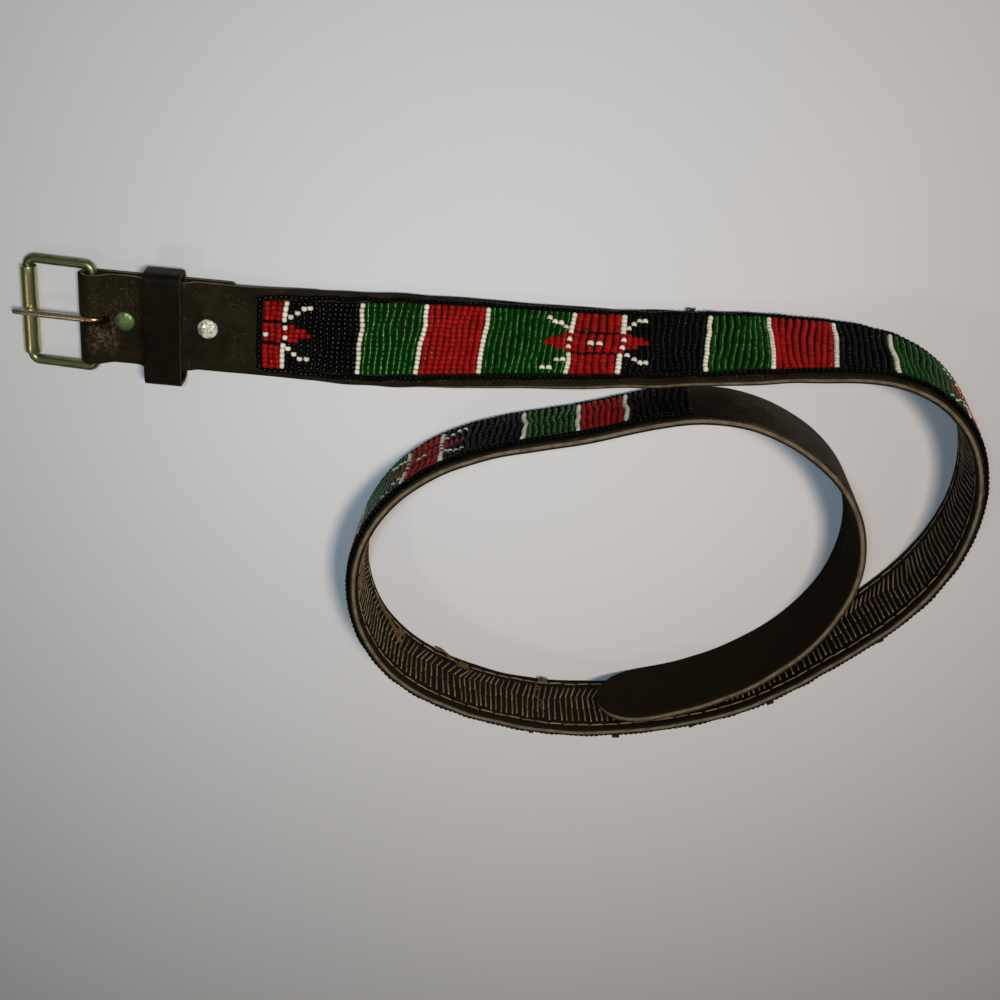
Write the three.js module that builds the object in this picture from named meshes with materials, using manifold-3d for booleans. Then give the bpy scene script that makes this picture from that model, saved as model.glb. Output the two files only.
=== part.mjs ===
// A leather belt with a panel of seed beads on its outer face and a small roller buckle.
// It lies on a table: the buckle end is flat, then the strap twists up on edge, runs round in one
// loop and a half, and ends in a rounded tip inside. Millimetres, +Z up, the table at z = 0.
import * as THREE from "three";
import { mergeVertices } from "three/addons/utils/BufferGeometryUtils.js";
import Module from "manifold-3d";

const wasm = await Module();
wasm.setup();

// Strap: its length runs from the buckle's hidden bar to the tip
const STRAP_LENGTH = 1170;
const STRAP_WIDTH = 38;
const STRAP_THICKNESS = 3.4;
const STRAP_BEVEL = 0.6;
const TIP_LENGTH = 21;
const FLAP_LENGTH = 59;
const FLAP_CORNER = 3;
const DROP_LENGTH = 34;

// What touches keeps this clearance, and what turns keeps the running one
const CLEARANCE = 0.3;
const RUNNING = 0.3;

// Buckle: a wire frame, a roller on its outer bar and a prong hooked round its hidden bar
const BUCKLE_LENGTH = 27;
const BUCKLE_SIDE_GAP = 1.2;
const FRAME_WIRE = 4;
const FRAME_CORNER = 3;
const ROLLER_WALL = 1.1;
const PRONG_WIRE = 2.9;
const PRONG_TIP_WIRE = 2.3;
const PRONG_OVERHANG = 2.6;
const PRONG_SLOT_MARGIN = 2;

// Keeper: the leather loop between the two rivets
const KEEPER_LENGTH = 15;
const KEEPER_THICKNESS = 2;
const KEEPER_SIDE_GAP = 3.2;
const KEEPER_TONGUE_GAP = 5;
const KEEPER_CORNER = 3.4;
const KEEPER_TO_CAP = 5.4;

// Rivets through both layers, on either side of the keeper
const RIVET_TO_BAR = 13.4;
const CAP_DIAMETER = 8.3;
const CAP_RIM = 0.5;
const CAP_CROWN = 1.2;
const BACK_CAP_THICKNESS = 0.8;
const POST_DIAMETER = 3;

// Beadwork: cross rows of beads inside a border string
const BEADWORK_START = 67.5;
const BARE_TONGUE = 250;
const ROW_PITCH = 2.5;
const ROW_LENGTH = 29;
const ROW_HEIGHT = 2.2;
const BORDER_WIDTH = 2.4;
const BORDER_HEIGHT = 1.8;

// Slits in the tongue, measured back from the tip
const SLIT_COUNT = 7;
const SLIT_SPACING = 25.5;
const SLIT_TO_TIP = 65;
const SLIT_LENGTH = 4;
const SLIT_WIDTH = 2;

// The route in plan: the heading in degrees at shares of the strap's length, 0 along +X
const ROUTE = [
  { share: 0, heading: 0 },
  { share: 0.05, heading: 0 },
  { share: 0.06, heading: 0 },
  { share: 0.1, heading: 7 },
  { share: 0.15, heading: 4 },
  { share: 0.2, heading: 6 },
  { share: 0.24, heading: 5 },
  { share: 0.27, heading: -5 },
  { share: 0.3, heading: -40 },
  { share: 0.33, heading: -78 },
  { share: 0.36, heading: -107 },
  { share: 0.4, heading: -132 },
  { share: 0.44, heading: -142 },
  { share: 0.48, heading: -160 },
  { share: 0.52, heading: -175 },
  { share: 0.55, heading: -188 },
  { share: 0.58, heading: -206 },
  { share: 0.61, heading: -239 },
  { share: 0.64, heading: -273 },
  { share: 0.67, heading: -305 },
  { share: 0.7, heading: -332 },
  { share: 0.73, heading: -345 },
  { share: 0.76, heading: -341 },
  { share: 0.785, heading: -351 },
  { share: 0.81, heading: -377 },
  { share: 0.835, heading: -399 },
  { share: 0.86, heading: -428 },
  { share: 0.885, heading: -459 },
  { share: 0.92, heading: -489 },
  { share: 0.96, heading: -513 },
  { share: 1, heading: -531 },
];

// How far the strap stands up, in degrees: 0 is flat with the beads up, 90 on edge with them outside
const STAND = [
  { share: 0, angle: 0 },
  { share: 0.045, angle: 0 },
  { share: 0.055, angle: 0 },
  { share: 0.07, angle: 5 },
  { share: 0.095, angle: 20 },
  { share: 0.12, angle: 37 },
  { share: 0.14, angle: 47 },
  { share: 0.17, angle: 56 },
  { share: 0.22, angle: 65 },
  { share: 0.26, angle: 76 },
  { share: 0.3, angle: 86 },
  { share: 0.34, angle: 90 },
  { share: 0.6, angle: 90 },
  { share: 0.66, angle: 92 },
  { share: 0.78, angle: 94 },
  { share: 0.88, angle: 91 },
  { share: 1, angle: 90 },
];

// The strap's stations: close together where it bends in height or twists
const SPACING = [
  { until: 0.065, step: 2.4 },
  { until: 0.16, step: 4.6 },
  { until: 0.34, step: 7 },
  { until: 1, step: 10 },
];

// The beadwork's blocks from the buckle on. The last of a block's rows is the white divider
const FIRST_BLOCKS = [
  { colour: "red", figure: "shield", rows: 4 },
  { colour: "black", figure: "spear", rows: 13 },
  { colour: "green", figure: "plain", rows: 10 },
  { colour: "red", figure: "plain", rows: 10 },
];
const REPEAT_BLOCKS = [
  { colour: "green", figure: "spear", rows: 14 },
  { colour: "red", figure: "shield", rows: 8 },
  { colour: "black", figure: "spear", rows: 14 },
  { colour: "green", figure: "plain", rows: 10 },
  { colour: "red", figure: "plain", rows: 10 },
];
const BLACK_BLOCK = { colour: "black", figure: "plain", rows: 9 };
const LAST_BLOCKS = [
  { colour: "green", figure: "spear", rows: 12 },
  { colour: "red", figure: "shield", rows: 7 },
  { colour: "black", figure: "spear", rows: 14 },
  { colour: "green", figure: "plain", rows: 9 },
  { colour: "red", figure: "plain", rows: 8 },
  BLACK_BLOCK,
];
const MIDDLE_BLOCKS = [...REPEAT_BLOCKS, BLACK_BLOCK, ...REPEAT_BLOCKS];
const BLOCKS = [...FIRST_BLOCKS, ...MIDDLE_BLOCKS, ...MIDDLE_BLOCKS, ...LAST_BLOCKS, ...MIDDLE_BLOCKS];

const FINISHES = {
  leather: { color: "#2c211a", roughness: 0.62, metalness: 0 },
  antique_brass: { color: "#8d8250", roughness: 0.35, metalness: 1 },
  prong_bronze: { color: "#b08a55", roughness: 0.35, metalness: 1 },
  rivet_metal: { color: "#a9b08c", roughness: 0.3, metalness: 1 },
  red_beads: { color: "#9c0d12", roughness: 0.3, metalness: 0 },
  green_beads: { color: "#0c4a1b", roughness: 0.2, metalness: 0 },
  black_beads: { color: "#0b0b0d", roughness: 0.25, metalness: 0 },
};

const UP = new THREE.Vector3(0, 0, 1);
const radians = THREE.MathUtils.degToRad;

// Sizes that follow from the ones above
const FOLD_RADIUS = FRAME_WIRE / 2 + CLEARANCE + STRAP_THICKNESS / 2;
const BAR_HEIGHT = STRAP_THICKNESS / 2 + FOLD_RADIUS;
const LAYER_LIFT = STRAP_THICKNESS + CLEARANCE;
const KEEPER_BASE = LAYER_LIFT + KEEPER_THICKNESS;
const KEEPER_LIFT = KEEPER_BASE + CLEARANCE;
const KEEPER_START = RIVET_TO_BAR + CAP_DIAMETER / 2 + KEEPER_TO_CAP;
const KEEPER_END = KEEPER_START + KEEPER_LENGTH;
const SECOND_RIVET = KEEPER_END + KEEPER_TO_CAP + CAP_DIAMETER / 2;
const ROLLER_RADIUS = FRAME_WIRE / 2 + RUNNING + ROLLER_WALL;
const SIDE_WIRE = STRAP_WIDTH / 2 + BUCKLE_SIDE_GAP + FRAME_WIRE / 2;
const EYE_RADIUS = FRAME_WIRE / 2 + RUNNING + PRONG_WIRE / 2;
const CAP_SEAT = CAP_DIAMETER / 2 + 2 * CLEARANCE;

// How far the layer is lifted off the table, at distances from the bar
const LIFTS = [
  { at: 0, lift: 2 * FOLD_RADIUS },
  { at: RIVET_TO_BAR - CAP_SEAT, lift: LAYER_LIFT },
  { at: RIVET_TO_BAR + CAP_SEAT, lift: LAYER_LIFT },
  { at: KEEPER_START - CLEARANCE, lift: KEEPER_LIFT },
  { at: KEEPER_END + CLEARANCE, lift: KEEPER_LIFT },
  { at: SECOND_RIVET - CAP_SEAT, lift: LAYER_LIFT },
  { at: FLAP_LENGTH + CLEARANCE, lift: LAYER_LIFT },
  { at: FLAP_LENGTH + DROP_LENGTH, lift: 0 },
];

// A smooth curve through one column of a table of shares
function smoothColumn(rows, column) {
  const shares = rows.map((row) => row.share);
  const values = rows.map((row) => row[column]);
  const curve = new THREE.CubicInterpolant(shares, values, 1);
  return (share) => curve.evaluate(share)[0];
}

const headingAt = smoothColumn(ROUTE, "heading");
const standAt = smoothColumn(STAND, "angle");

// The route stepped finely from the bar, in plan
const TRACK_STEPS = 1200;
const TRACK_STEP = STRAP_LENGTH / TRACK_STEPS;
const track = [new THREE.Vector3()];
for (let i = 0; i < TRACK_STEPS; i++) {
  const heading = radians(headingAt((i + 0.5) / TRACK_STEPS));
  const step = new THREE.Vector3(Math.cos(heading), Math.sin(heading), 0);
  track.push(track[i].clone().addScaledVector(step, TRACK_STEP));
}

// The lift at a distance from the bar, eased from row to row
function liftAt(distance) {
  const after = LIFTS.findIndex((row) => row.at > distance);
  if (after < 0) return 0;
  if (after === 0) return LIFTS[0].lift;
  const from = LIFTS[after - 1];
  const to = LIFTS[after];
  const eased = THREE.MathUtils.smoothstep(distance, from.at, to.at);
  return THREE.MathUtils.lerp(from.lift, to.lift, eased);
}

// The middle of the strap's section at a distance from the bar
function middleAt(distance) {
  const share = THREE.MathUtils.clamp(distance / STRAP_LENGTH, 0, 1);
  const index = Math.min(Math.floor(share * TRACK_STEPS), TRACK_STEPS - 1);
  const place = track[index].clone().lerp(track[index + 1], share * TRACK_STEPS - index);
  const stand = radians(standAt(share));
  const rest = (Math.sin(stand) * STRAP_WIDTH + Math.abs(Math.cos(stand)) * STRAP_THICKNESS) / 2;
  place.z = rest + liftAt(distance);
  return place;
}

// The section's frame there: along the strap, out of its beaded face, and across it
function stationAt(distance) {
  const nudge = TRACK_STEP;
  const ahead = middleAt(Math.min(distance + nudge, STRAP_LENGTH));
  const along = ahead.sub(middleAt(Math.max(distance - nudge, 0))).normalize();
  const left = UP.clone().cross(along).normalize();
  const stand = radians(standAt(distance / STRAP_LENGTH));
  const out = UP.clone().multiplyScalar(Math.cos(stand)).addScaledVector(left, Math.sin(stand));
  out.addScaledVector(along, -out.dot(along)).normalize();
  return { middle: middleAt(distance), along, out, across: along.clone().cross(out) };
}

// Points of a box section, [across, out], bevelled or square, its faces split into strips
function boxSection(halfWidth, low, high, bevel, strips) {
  const inner = halfWidth - bevel;
  const crossing = (out, from) => {
    const point = (_, i) => [from * inner * (1 - (2 * i) / strips), out];
    return Array.from({ length: strips + 1 }, point);
  };
  const ends = [high - bevel, low + bevel];
  const right = bevel > 0 ? ends.map((out) => [halfWidth, out]) : [];
  const left = bevel > 0 ? ends.reverse().map((out) => [-halfWidth, out]) : [];
  return [...right, ...crossing(low, 1), ...left, ...crossing(high, -1)];
}

// A section's points placed at a station
function ringAt(station, section) {
  const place = ([across, out]) =>
    station.middle.clone().addScaledVector(station.across, across).addScaledVector(station.out, out);
  return section.map(place);
}

// A round section's points
function roundSection(radius, sides) {
  const point = (_, i) => {
    const turn = (i / sides) * 2 * Math.PI;
    return [radius * Math.sin(turn), radius * Math.cos(turn)];
  };
  return Array.from({ length: sides }, point);
}

// A closed body through rings of points: capped at both ends, or joined end to end
function loft(rings, closed = false) {
  const sides = rings[0].length;
  const index = [];
  const spans = closed ? rings.length : rings.length - 1;
  for (let i = 0; i < spans; i++) {
    const here = i * sides;
    const next = ((i + 1) % rings.length) * sides;
    for (let j = 0; j < sides; j++) {
      const k = (j + 1) % sides;
      index.push(here + j, here + k, next + k, here + j, next + k, next + j);
    }
  }
  const last = (rings.length - 1) * sides;
  for (let a = 0; !closed && a < sides / 2 - 1; a++) {
    const b = a + 1;
    const c = sides - 2 - a;
    const d = sides - 1 - a;
    index.push(a, c, b, a, d, c);
    index.push(last + a, last + b, last + c, last + a, last + c, last + d);
  }
  const geometry = new THREE.BufferGeometry().setFromPoints(rings.flat());
  geometry.setIndex(index);
  return geometry;
}

function toManifold(geometry) {
  const bare = geometry.clone();
  bare.deleteAttribute("normal");
  bare.deleteAttribute("uv");
  const merged = mergeVertices(bare, 1e-4);
  const vertProperties = new Float32Array(merged.attributes.position.array);
  const triVerts = new Uint32Array(merged.index.array);
  return new wasm.Manifold(new wasm.Mesh({ numProp: 3, vertProperties, triVerts }));
}

function cutAway(geometry, tools) {
  const cut = (solid, tool) => solid.subtract(toManifold(tool));
  const mesh = tools.reduce(cut, toManifold(geometry)).getMesh();
  const result = new THREE.BufferGeometry();
  result.setAttribute("position", new THREE.BufferAttribute(mesh.vertProperties, 3));
  result.setIndex(new THREE.BufferAttribute(mesh.triVerts, 1));
  return result;
}

// A prism with round ends, its length along X, centred on the origin and standing along Z
function slotPrism(length, width, height) {
  const radius = width / 2;
  const reach = length / 2 - radius;
  const outline = new THREE.Shape();
  outline.absarc(reach, 0, radius, -Math.PI / 2, Math.PI / 2);
  outline.absarc(-reach, 0, radius, Math.PI / 2, 1.5 * Math.PI);
  const prism = new THREE.ExtrudeGeometry(outline, { depth: height, bevelEnabled: false, curveSegments: 4 });
  return prism.translate(0, 0, -height / 2);
}

function peg(radius, height, sides, x, z) {
  return new THREE.CylinderGeometry(radius, radius, height, sides).rotateX(Math.PI / 2).translate(x, 0, z);
}

// Half the strap's width: rounded at the tip
function halfWidthAt(distance) {
  const intoTip = Math.max(distance - (STRAP_LENGTH - TIP_LENGTH), 0) / TIP_LENGTH;
  return (STRAP_WIDTH / 2) * Math.sqrt(1 - intoTip * intoTip);
}

// Distances from the bar for the strap's stations, ending in closer ones round the tip
function strapDistances() {
  const distances = [];
  const tipStart = STRAP_LENGTH - TIP_LENGTH;
  let distance = 0;
  for (const { until, step } of SPACING) {
    const end = Math.min(until * STRAP_LENGTH, tipStart);
    const count = Math.max(Math.round((end - distance) / step), 1);
    for (let i = 0; i < count; i++) {
      distances.push(distance + ((end - distance) * i) / count);
    }
    distance = end;
  }
  const tipTurns = 8;
  for (let i = 0; i < tipTurns; i++) {
    distances.push(tipStart + TIP_LENGTH * Math.sin(((i / tipTurns) * Math.PI) / 2));
  }
  const tipEnd = 0.998;
  distances.push(tipStart + TIP_LENGTH * tipEnd);
  return distances;
}

// The flap's stations, from its end to the fold, and the half turn round the bar
function flapRings() {
  const section = (half) => boxSection(half, -STRAP_THICKNESS / 2, STRAP_THICKNESS / 2, STRAP_BEVEL, 3);
  const across = new THREE.Vector3(0, -1, 0);
  const flap = (x, half) =>
    ringAt(
      { middle: new THREE.Vector3(x, 0, STRAP_THICKNESS / 2), out: UP.clone().negate(), across },
      section(half),
    );
  const half = STRAP_WIDTH / 2;
  const rings = [
    flap(FLAP_LENGTH, half - FLAP_CORNER),
    flap(FLAP_LENGTH - FLAP_CORNER / 3, half - FLAP_CORNER / 3),
    flap(FLAP_LENGTH - FLAP_CORNER, half),
    flap(FLAP_LENGTH / 2, half),
  ];
  const foldSteps = 10;
  for (let i = 0; i < foldSteps; i++) {
    const turn = (i / foldSteps) * Math.PI;
    const out = new THREE.Vector3(-Math.sin(turn), 0, -Math.cos(turn));
    const middle = new THREE.Vector3(0, 0, BAR_HEIGHT).addScaledVector(out, FOLD_RADIUS);
    rings.push(ringAt({ middle, out, across }, section(half)));
  }
  return rings;
}

// The prong's slot reaches from the fold's outside to where the lifted prong leaves the leather
function prongSlot() {
  const start = -(FOLD_RADIUS + STRAP_THICKNESS);
  const end = EYE_RADIUS + PRONG_WIRE / 2 + PRONG_SLOT_MARGIN;
  const width = PRONG_WIRE + 2 * CLEARANCE;
  const height = 2 * BAR_HEIGHT + 2 * STRAP_THICKNESS;
  return slotPrism(end - start, width, height).translate((start + end) / 2, 0, BAR_HEIGHT);
}

function rivetHoles(at) {
  const height = LAYER_LIFT + 3 * STRAP_THICKNESS;
  const hole = peg(POST_DIAMETER / 2 + CLEARANCE, height, 12, at, STRAP_THICKNESS);
  const depth = BACK_CAP_THICKNESS + CLEARANCE;
  const recess = peg(CAP_DIAMETER / 2 + CLEARANCE, 2 * depth, 20, at, 0);
  return [hole, recess];
}

function tongueSlits() {
  return Array.from({ length: SLIT_COUNT }, (_, i) => {
    const station = stationAt(STRAP_LENGTH - SLIT_TO_TIP - i * SLIT_SPACING);
    const basis = new THREE.Matrix4().makeBasis(
      station.along,
      station.across.clone().negate(),
      station.out,
    );
    basis.setPosition(station.middle);
    return slotPrism(SLIT_LENGTH, SLIT_WIDTH, 2 * STRAP_THICKNESS).applyMatrix4(basis);
  });
}

function strap() {
  const half = STRAP_THICKNESS / 2;
  const mainRings = strapDistances().map((distance) => {
    const width = Math.max(halfWidthAt(distance), 2 * STRAP_BEVEL);
    return ringAt(stationAt(distance), boxSection(width, -half, half, STRAP_BEVEL, 3));
  });
  const body = loft([...flapRings(), ...mainRings]);
  const tools = [
    prongSlot(),
    ...rivetHoles(RIVET_TO_BAR),
    ...rivetHoles(SECOND_RIVET),
    ...tongueSlits(),
  ];
  return cutAway(body, tools);
}

// The keeper's outline across the strap, grown outwards by its thickness
function keeperOutline(grow, corner) {
  const half = STRAP_WIDTH / 2 + KEEPER_SIDE_GAP + grow;
  const low = KEEPER_BASE - grow;
  const high = KEEPER_LIFT + STRAP_THICKNESS + KEEPER_TONGUE_GAP + grow;
  const outline = new THREE.Path();
  outline.absarc(half - corner, low + corner, corner, -Math.PI / 2, 0);
  outline.absarc(half - corner, high - corner, corner, 0, Math.PI / 2);
  outline.absarc(-half + corner, high - corner, corner, Math.PI / 2, Math.PI);
  outline.absarc(-half + corner, low + corner, corner, Math.PI, 1.5 * Math.PI);
  return outline.closePath();
}

function keeper() {
  const shape = new THREE.Shape(keeperOutline(KEEPER_THICKNESS, KEEPER_CORNER).getPoints(4));
  shape.holes.push(keeperOutline(0, KEEPER_CORNER - KEEPER_THICKNESS));
  const band = new THREE.ExtrudeGeometry(shape, {
    depth: KEEPER_LENGTH,
    bevelEnabled: false,
    curveSegments: 4,
  });
  band.rotateX(Math.PI / 2).rotateZ(Math.PI / 2);
  return band.translate(KEEPER_START, 0, 0);
}

// A rivet's domed cap and its post
function rivetCap(at) {
  const radius = CAP_DIAMETER / 2;
  const seat = 2 * LAYER_LIFT;
  const rimTop = seat + CAP_RIM;
  const domeSteps = 4;
  const profile = [
    new THREE.Vector2(0, BACK_CAP_THICKNESS + CLEARANCE),
    new THREE.Vector2(POST_DIAMETER / 2, BACK_CAP_THICKNESS + CLEARANCE),
    new THREE.Vector2(POST_DIAMETER / 2, seat),
    new THREE.Vector2(radius, seat),
    new THREE.Vector2(radius, rimTop),
  ];
  for (let i = 1; i <= domeSteps; i++) {
    const turn = ((i / domeSteps) * Math.PI) / 2;
    profile.push(new THREE.Vector2(radius * Math.cos(turn), rimTop + CAP_CROWN * Math.sin(turn)));
  }
  profile.at(-1).setX(0);
  return new THREE.LatheGeometry(profile, 20).rotateX(Math.PI / 2).translate(at, 0, 0);
}

function rivetBack(at) {
  return peg(CAP_DIAMETER / 2, BACK_CAP_THICKNESS, 20, at, BACK_CAP_THICKNESS / 2);
}

// The buckle lies with its roller on the table: its pitch from the hidden bar to the roller
const BUCKLE_PITCH = Math.asin((BAR_HEIGHT - ROLLER_RADIUS) / BUCKLE_LENGTH);

// A point in the buckle's plane: forward from the hidden bar, and to the side
function bucklePoint(forward, side) {
  const x = -forward * Math.cos(BUCKLE_PITCH);
  return new THREE.Vector3(x, side, BAR_HEIGHT - forward * Math.sin(BUCKLE_PITCH));
}

// The wire frame: one round wire along a rounded rectangle
function buckleFrame() {
  const reach = SIDE_WIRE - FRAME_CORNER;
  const corners = [
    { forward: FRAME_CORNER, side: reach, start: 0 },
    { forward: BUCKLE_LENGTH - FRAME_CORNER, side: reach, start: 1 },
    { forward: BUCKLE_LENGTH - FRAME_CORNER, side: -reach, start: 2 },
    { forward: FRAME_CORNER, side: -reach, start: 3 },
  ];
  const normal = new THREE.Vector3(-Math.sin(BUCKLE_PITCH), 0, Math.cos(BUCKLE_PITCH));
  const cornerSteps = 4;
  const rings = [];
  for (const corner of corners) {
    for (let i = 0; i <= cornerSteps; i++) {
      const turn = ((corner.start + i / cornerSteps) * Math.PI) / 2;
      const forward = corner.forward - FRAME_CORNER * Math.cos(turn);
      const side = corner.side + FRAME_CORNER * Math.sin(turn);
      const middle = bucklePoint(forward, side);
      const outward = bucklePoint(-Math.cos(turn), Math.sin(turn)).sub(bucklePoint(0, 0));
      rings.push(ringAt({ middle, out: normal, across: outward }, roundSection(FRAME_WIRE / 2, 10)));
    }
  }
  return loft(rings, true);
}

function roller() {
  const bore = FRAME_WIRE / 2 + RUNNING;
  const half = SIDE_WIRE - FRAME_CORNER - CLEARANCE;
  const profile = [
    new THREE.Vector2(bore, -half),
    new THREE.Vector2(ROLLER_RADIUS, -half),
    new THREE.Vector2(ROLLER_RADIUS, half),
    new THREE.Vector2(bore, half),
    new THREE.Vector2(bore, -half),
  ];
  const place = bucklePoint(BUCKLE_LENGTH, 0);
  return new THREE.LatheGeometry(profile, 16).translate(place.x, place.y, place.z);
}

// The prong: an eye round the hidden bar and a tapered shank that lies on the roller
function prong() {
  const eyeTop = BAR_HEIGHT + EYE_RADIUS;
  const rollerTop = 2 * ROLLER_RADIUS + CLEARANCE + PRONG_TIP_WIRE / 2;
  const slope = Math.atan((eyeTop - rollerTop) / BUCKLE_LENGTH);
  const side = new THREE.Vector3(0, 1, 0);
  const stationOn = (middle, along) => ({ middle, across: side, out: side.clone().cross(along) });
  const rings = [];
  const eyeSteps = 14;
  const eyeSweep = 1.5 * Math.PI + slope;
  for (let i = 0; i <= eyeSteps; i++) {
    const turn = -Math.PI + (eyeSweep * i) / eyeSteps;
    const radial = new THREE.Vector3(Math.cos(turn), 0, Math.sin(turn));
    const middle = new THREE.Vector3(0, 0, BAR_HEIGHT).addScaledVector(radial, EYE_RADIUS);
    const along = new THREE.Vector3(-Math.sin(turn), 0, Math.cos(turn));
    rings.push(ringAt(stationOn(middle, along), roundSection(PRONG_WIRE / 2, 8)));
  }
  const along = new THREE.Vector3(-Math.cos(slope), 0, -Math.sin(slope));
  const root = new THREE.Vector3(0, 0, BAR_HEIGHT);
  root.addScaledVector(new THREE.Vector3(-Math.sin(slope), 0, Math.cos(slope)), EYE_RADIUS);
  const length = BUCKLE_LENGTH + ROLLER_RADIUS + PRONG_OVERHANG;
  const tipRound = PRONG_TIP_WIRE / 2;
  const sections = [
    { at: 0.5, radius: PRONG_WIRE / 2 },
    { at: 1 - tipRound / length, radius: tipRound },
    { at: 1, radius: tipRound / 2 },
  ];
  for (const { at, radius } of sections) {
    const middle = root.clone().addScaledVector(along, at * length);
    rings.push(ringAt(stationOn(middle, along), roundSection(radius, 8)));
  }
  return loft(rings);
}

// A strip on the beaded face between two distances, across from one side to the other
function beadStrip(from, to, left, right, height, steps, strips) {
  const low = STRAP_THICKNESS / 2 + CLEARANCE;
  const section = boxSection((right - left) / 2, low, low + height, 0, strips);
  const shifted = section.map(([across, out]) => [across + (left + right) / 2, out]);
  const rings = [];
  for (let i = 0; i <= steps; i++) {
    rings.push(ringAt(stationAt(from + ((to - from) * i) / steps), shifted));
  }
  return loft(rings);
}

// The bead rows run between the two end strings
const ROWS_START = BEADWORK_START + BORDER_WIDTH + CLEARANCE;
const ROWS_FREE = STRAP_LENGTH - BARE_TONGUE - ROWS_START - CLEARANCE - BORDER_WIDTH;

// The blocks that fit, each with its first row
function fittingBlocks() {
  let rowsLeft = Math.floor(ROWS_FREE / ROW_PITCH);
  let first = 0;
  const blocks = [];
  for (const block of BLOCKS) {
    const rows = Math.min(block.rows, rowsLeft);
    if (rows < 1) break;
    blocks.push({ ...block, rows, first });
    first += rows;
    rowsLeft -= rows;
  }
  return blocks;
}

const blocks = fittingBlocks();
const ROWS_END = ROWS_START + (blocks.at(-1).first + blocks.at(-1).rows) * ROW_PITCH;

function beadBlock({ first, rows }) {
  const from = ROWS_START + first * ROW_PITCH;
  const to = from + rows * ROW_PITCH - CLEARANCE;
  const half = ROW_LENGTH / 2;
  return beadStrip(from, to, -half, half, ROW_HEIGHT, Math.ceil(rows / 2), 3);
}

function longBorder(side) {
  const inner = ROW_LENGTH / 2 + CLEARANCE;
  const outer = inner + BORDER_WIDTH;
  const [left, right] = side < 0 ? [-outer, -inner] : [inner, outer];
  const to = ROWS_END + BORDER_WIDTH;
  const steps = Math.round((to - BEADWORK_START) / (4 * ROW_PITCH));
  return beadStrip(BEADWORK_START, to, left, right, BORDER_HEIGHT, steps, 1);
}

function endBorder(from) {
  const half = ROW_LENGTH / 2;
  return beadStrip(from, from + BORDER_WIDTH, -half, half, BORDER_HEIGHT, 1, 3);
}

// Every piece by name, with its finish
const PIECES = [
  ["strap", "leather", strap()],
  ["keeper", "leather", keeper()],
  ["rivet_cap_front", "rivet_metal", rivetCap(RIVET_TO_BAR)],
  ["rivet_back_front", "rivet_metal", rivetBack(RIVET_TO_BAR)],
  ["rivet_cap_rear", "rivet_metal", rivetCap(SECOND_RIVET)],
  ["rivet_back_rear", "rivet_metal", rivetBack(SECOND_RIVET)],
  ["buckle_frame", "antique_brass", buckleFrame()],
  ["roller", "antique_brass", roller()],
  ["prong", "prong_bronze", prong()],
  ["border_near", "black_beads", longBorder(1)],
  ["border_far", "black_beads", longBorder(-1)],
  ["border_start", "black_beads", endBorder(BEADWORK_START)],
  ["border_end", "black_beads", endBorder(ROWS_END)],
];
for (const [i, block] of blocks.entries()) {
  const number = String(i + 1).padStart(2, "0");
  const name = `beads_${number}_${block.colour}_${block.figure}`;
  PIECES.push([name, `${block.colour}_beads`, beadBlock(block)]);
}

const belt = new THREE.Group();
for (const [name, finish, geometry] of PIECES) {
  const flat = geometry.index ? geometry.toNonIndexed() : geometry;
  flat.computeVertexNormals();
  const mesh = new THREE.Mesh(flat, new THREE.MeshStandardMaterial(FINISHES[finish]));
  mesh.name = name;
  belt.add(mesh);
}

// The belt's own origin: under the middle of its box, on the table
const box = new THREE.Box3().setFromObject(belt);
const middle = box.getCenter(new THREE.Vector3());
belt.position.set(-middle.x, -middle.y, -box.min.z);

export default belt;
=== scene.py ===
"""A leather belt with a panel of seed beads and a roller buckle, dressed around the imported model.

The belt lies on a pale table. Its buckle end is flat with the beads up, then the strap twists up on
edge, runs round in one loop and a half with the beads outside, and ends in a bare rounded tongue.
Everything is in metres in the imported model's frame, with the table at z = 0.
"""
import logging
import math
from collections.abc import Sequence
from dataclasses import dataclass, field
from enum import Enum

import bpy
import numpy as np
from mathutils import Matrix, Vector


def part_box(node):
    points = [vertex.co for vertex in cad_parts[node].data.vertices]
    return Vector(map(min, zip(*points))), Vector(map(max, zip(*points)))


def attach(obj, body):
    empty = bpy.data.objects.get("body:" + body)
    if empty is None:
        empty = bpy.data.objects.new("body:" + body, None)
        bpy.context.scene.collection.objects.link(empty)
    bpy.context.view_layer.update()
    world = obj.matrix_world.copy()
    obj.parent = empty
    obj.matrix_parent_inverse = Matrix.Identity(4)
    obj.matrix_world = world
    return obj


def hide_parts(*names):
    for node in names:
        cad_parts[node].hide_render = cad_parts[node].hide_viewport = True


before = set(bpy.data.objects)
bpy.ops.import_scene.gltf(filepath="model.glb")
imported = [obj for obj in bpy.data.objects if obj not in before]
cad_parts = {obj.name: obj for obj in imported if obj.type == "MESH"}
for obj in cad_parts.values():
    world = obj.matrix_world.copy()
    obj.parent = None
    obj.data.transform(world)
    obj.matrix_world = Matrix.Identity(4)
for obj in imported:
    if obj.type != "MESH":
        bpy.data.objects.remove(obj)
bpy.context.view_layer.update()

logging.basicConfig(level=logging.INFO, format="%(message)s")
LOG = logging.getLogger("belt")

MM = 0.001
GOLDEN_SHARE = 0.6180339
Array = np.ndarray
Colour = tuple[float, float, float]


# Sizes shared by the sub-assemblies


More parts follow.
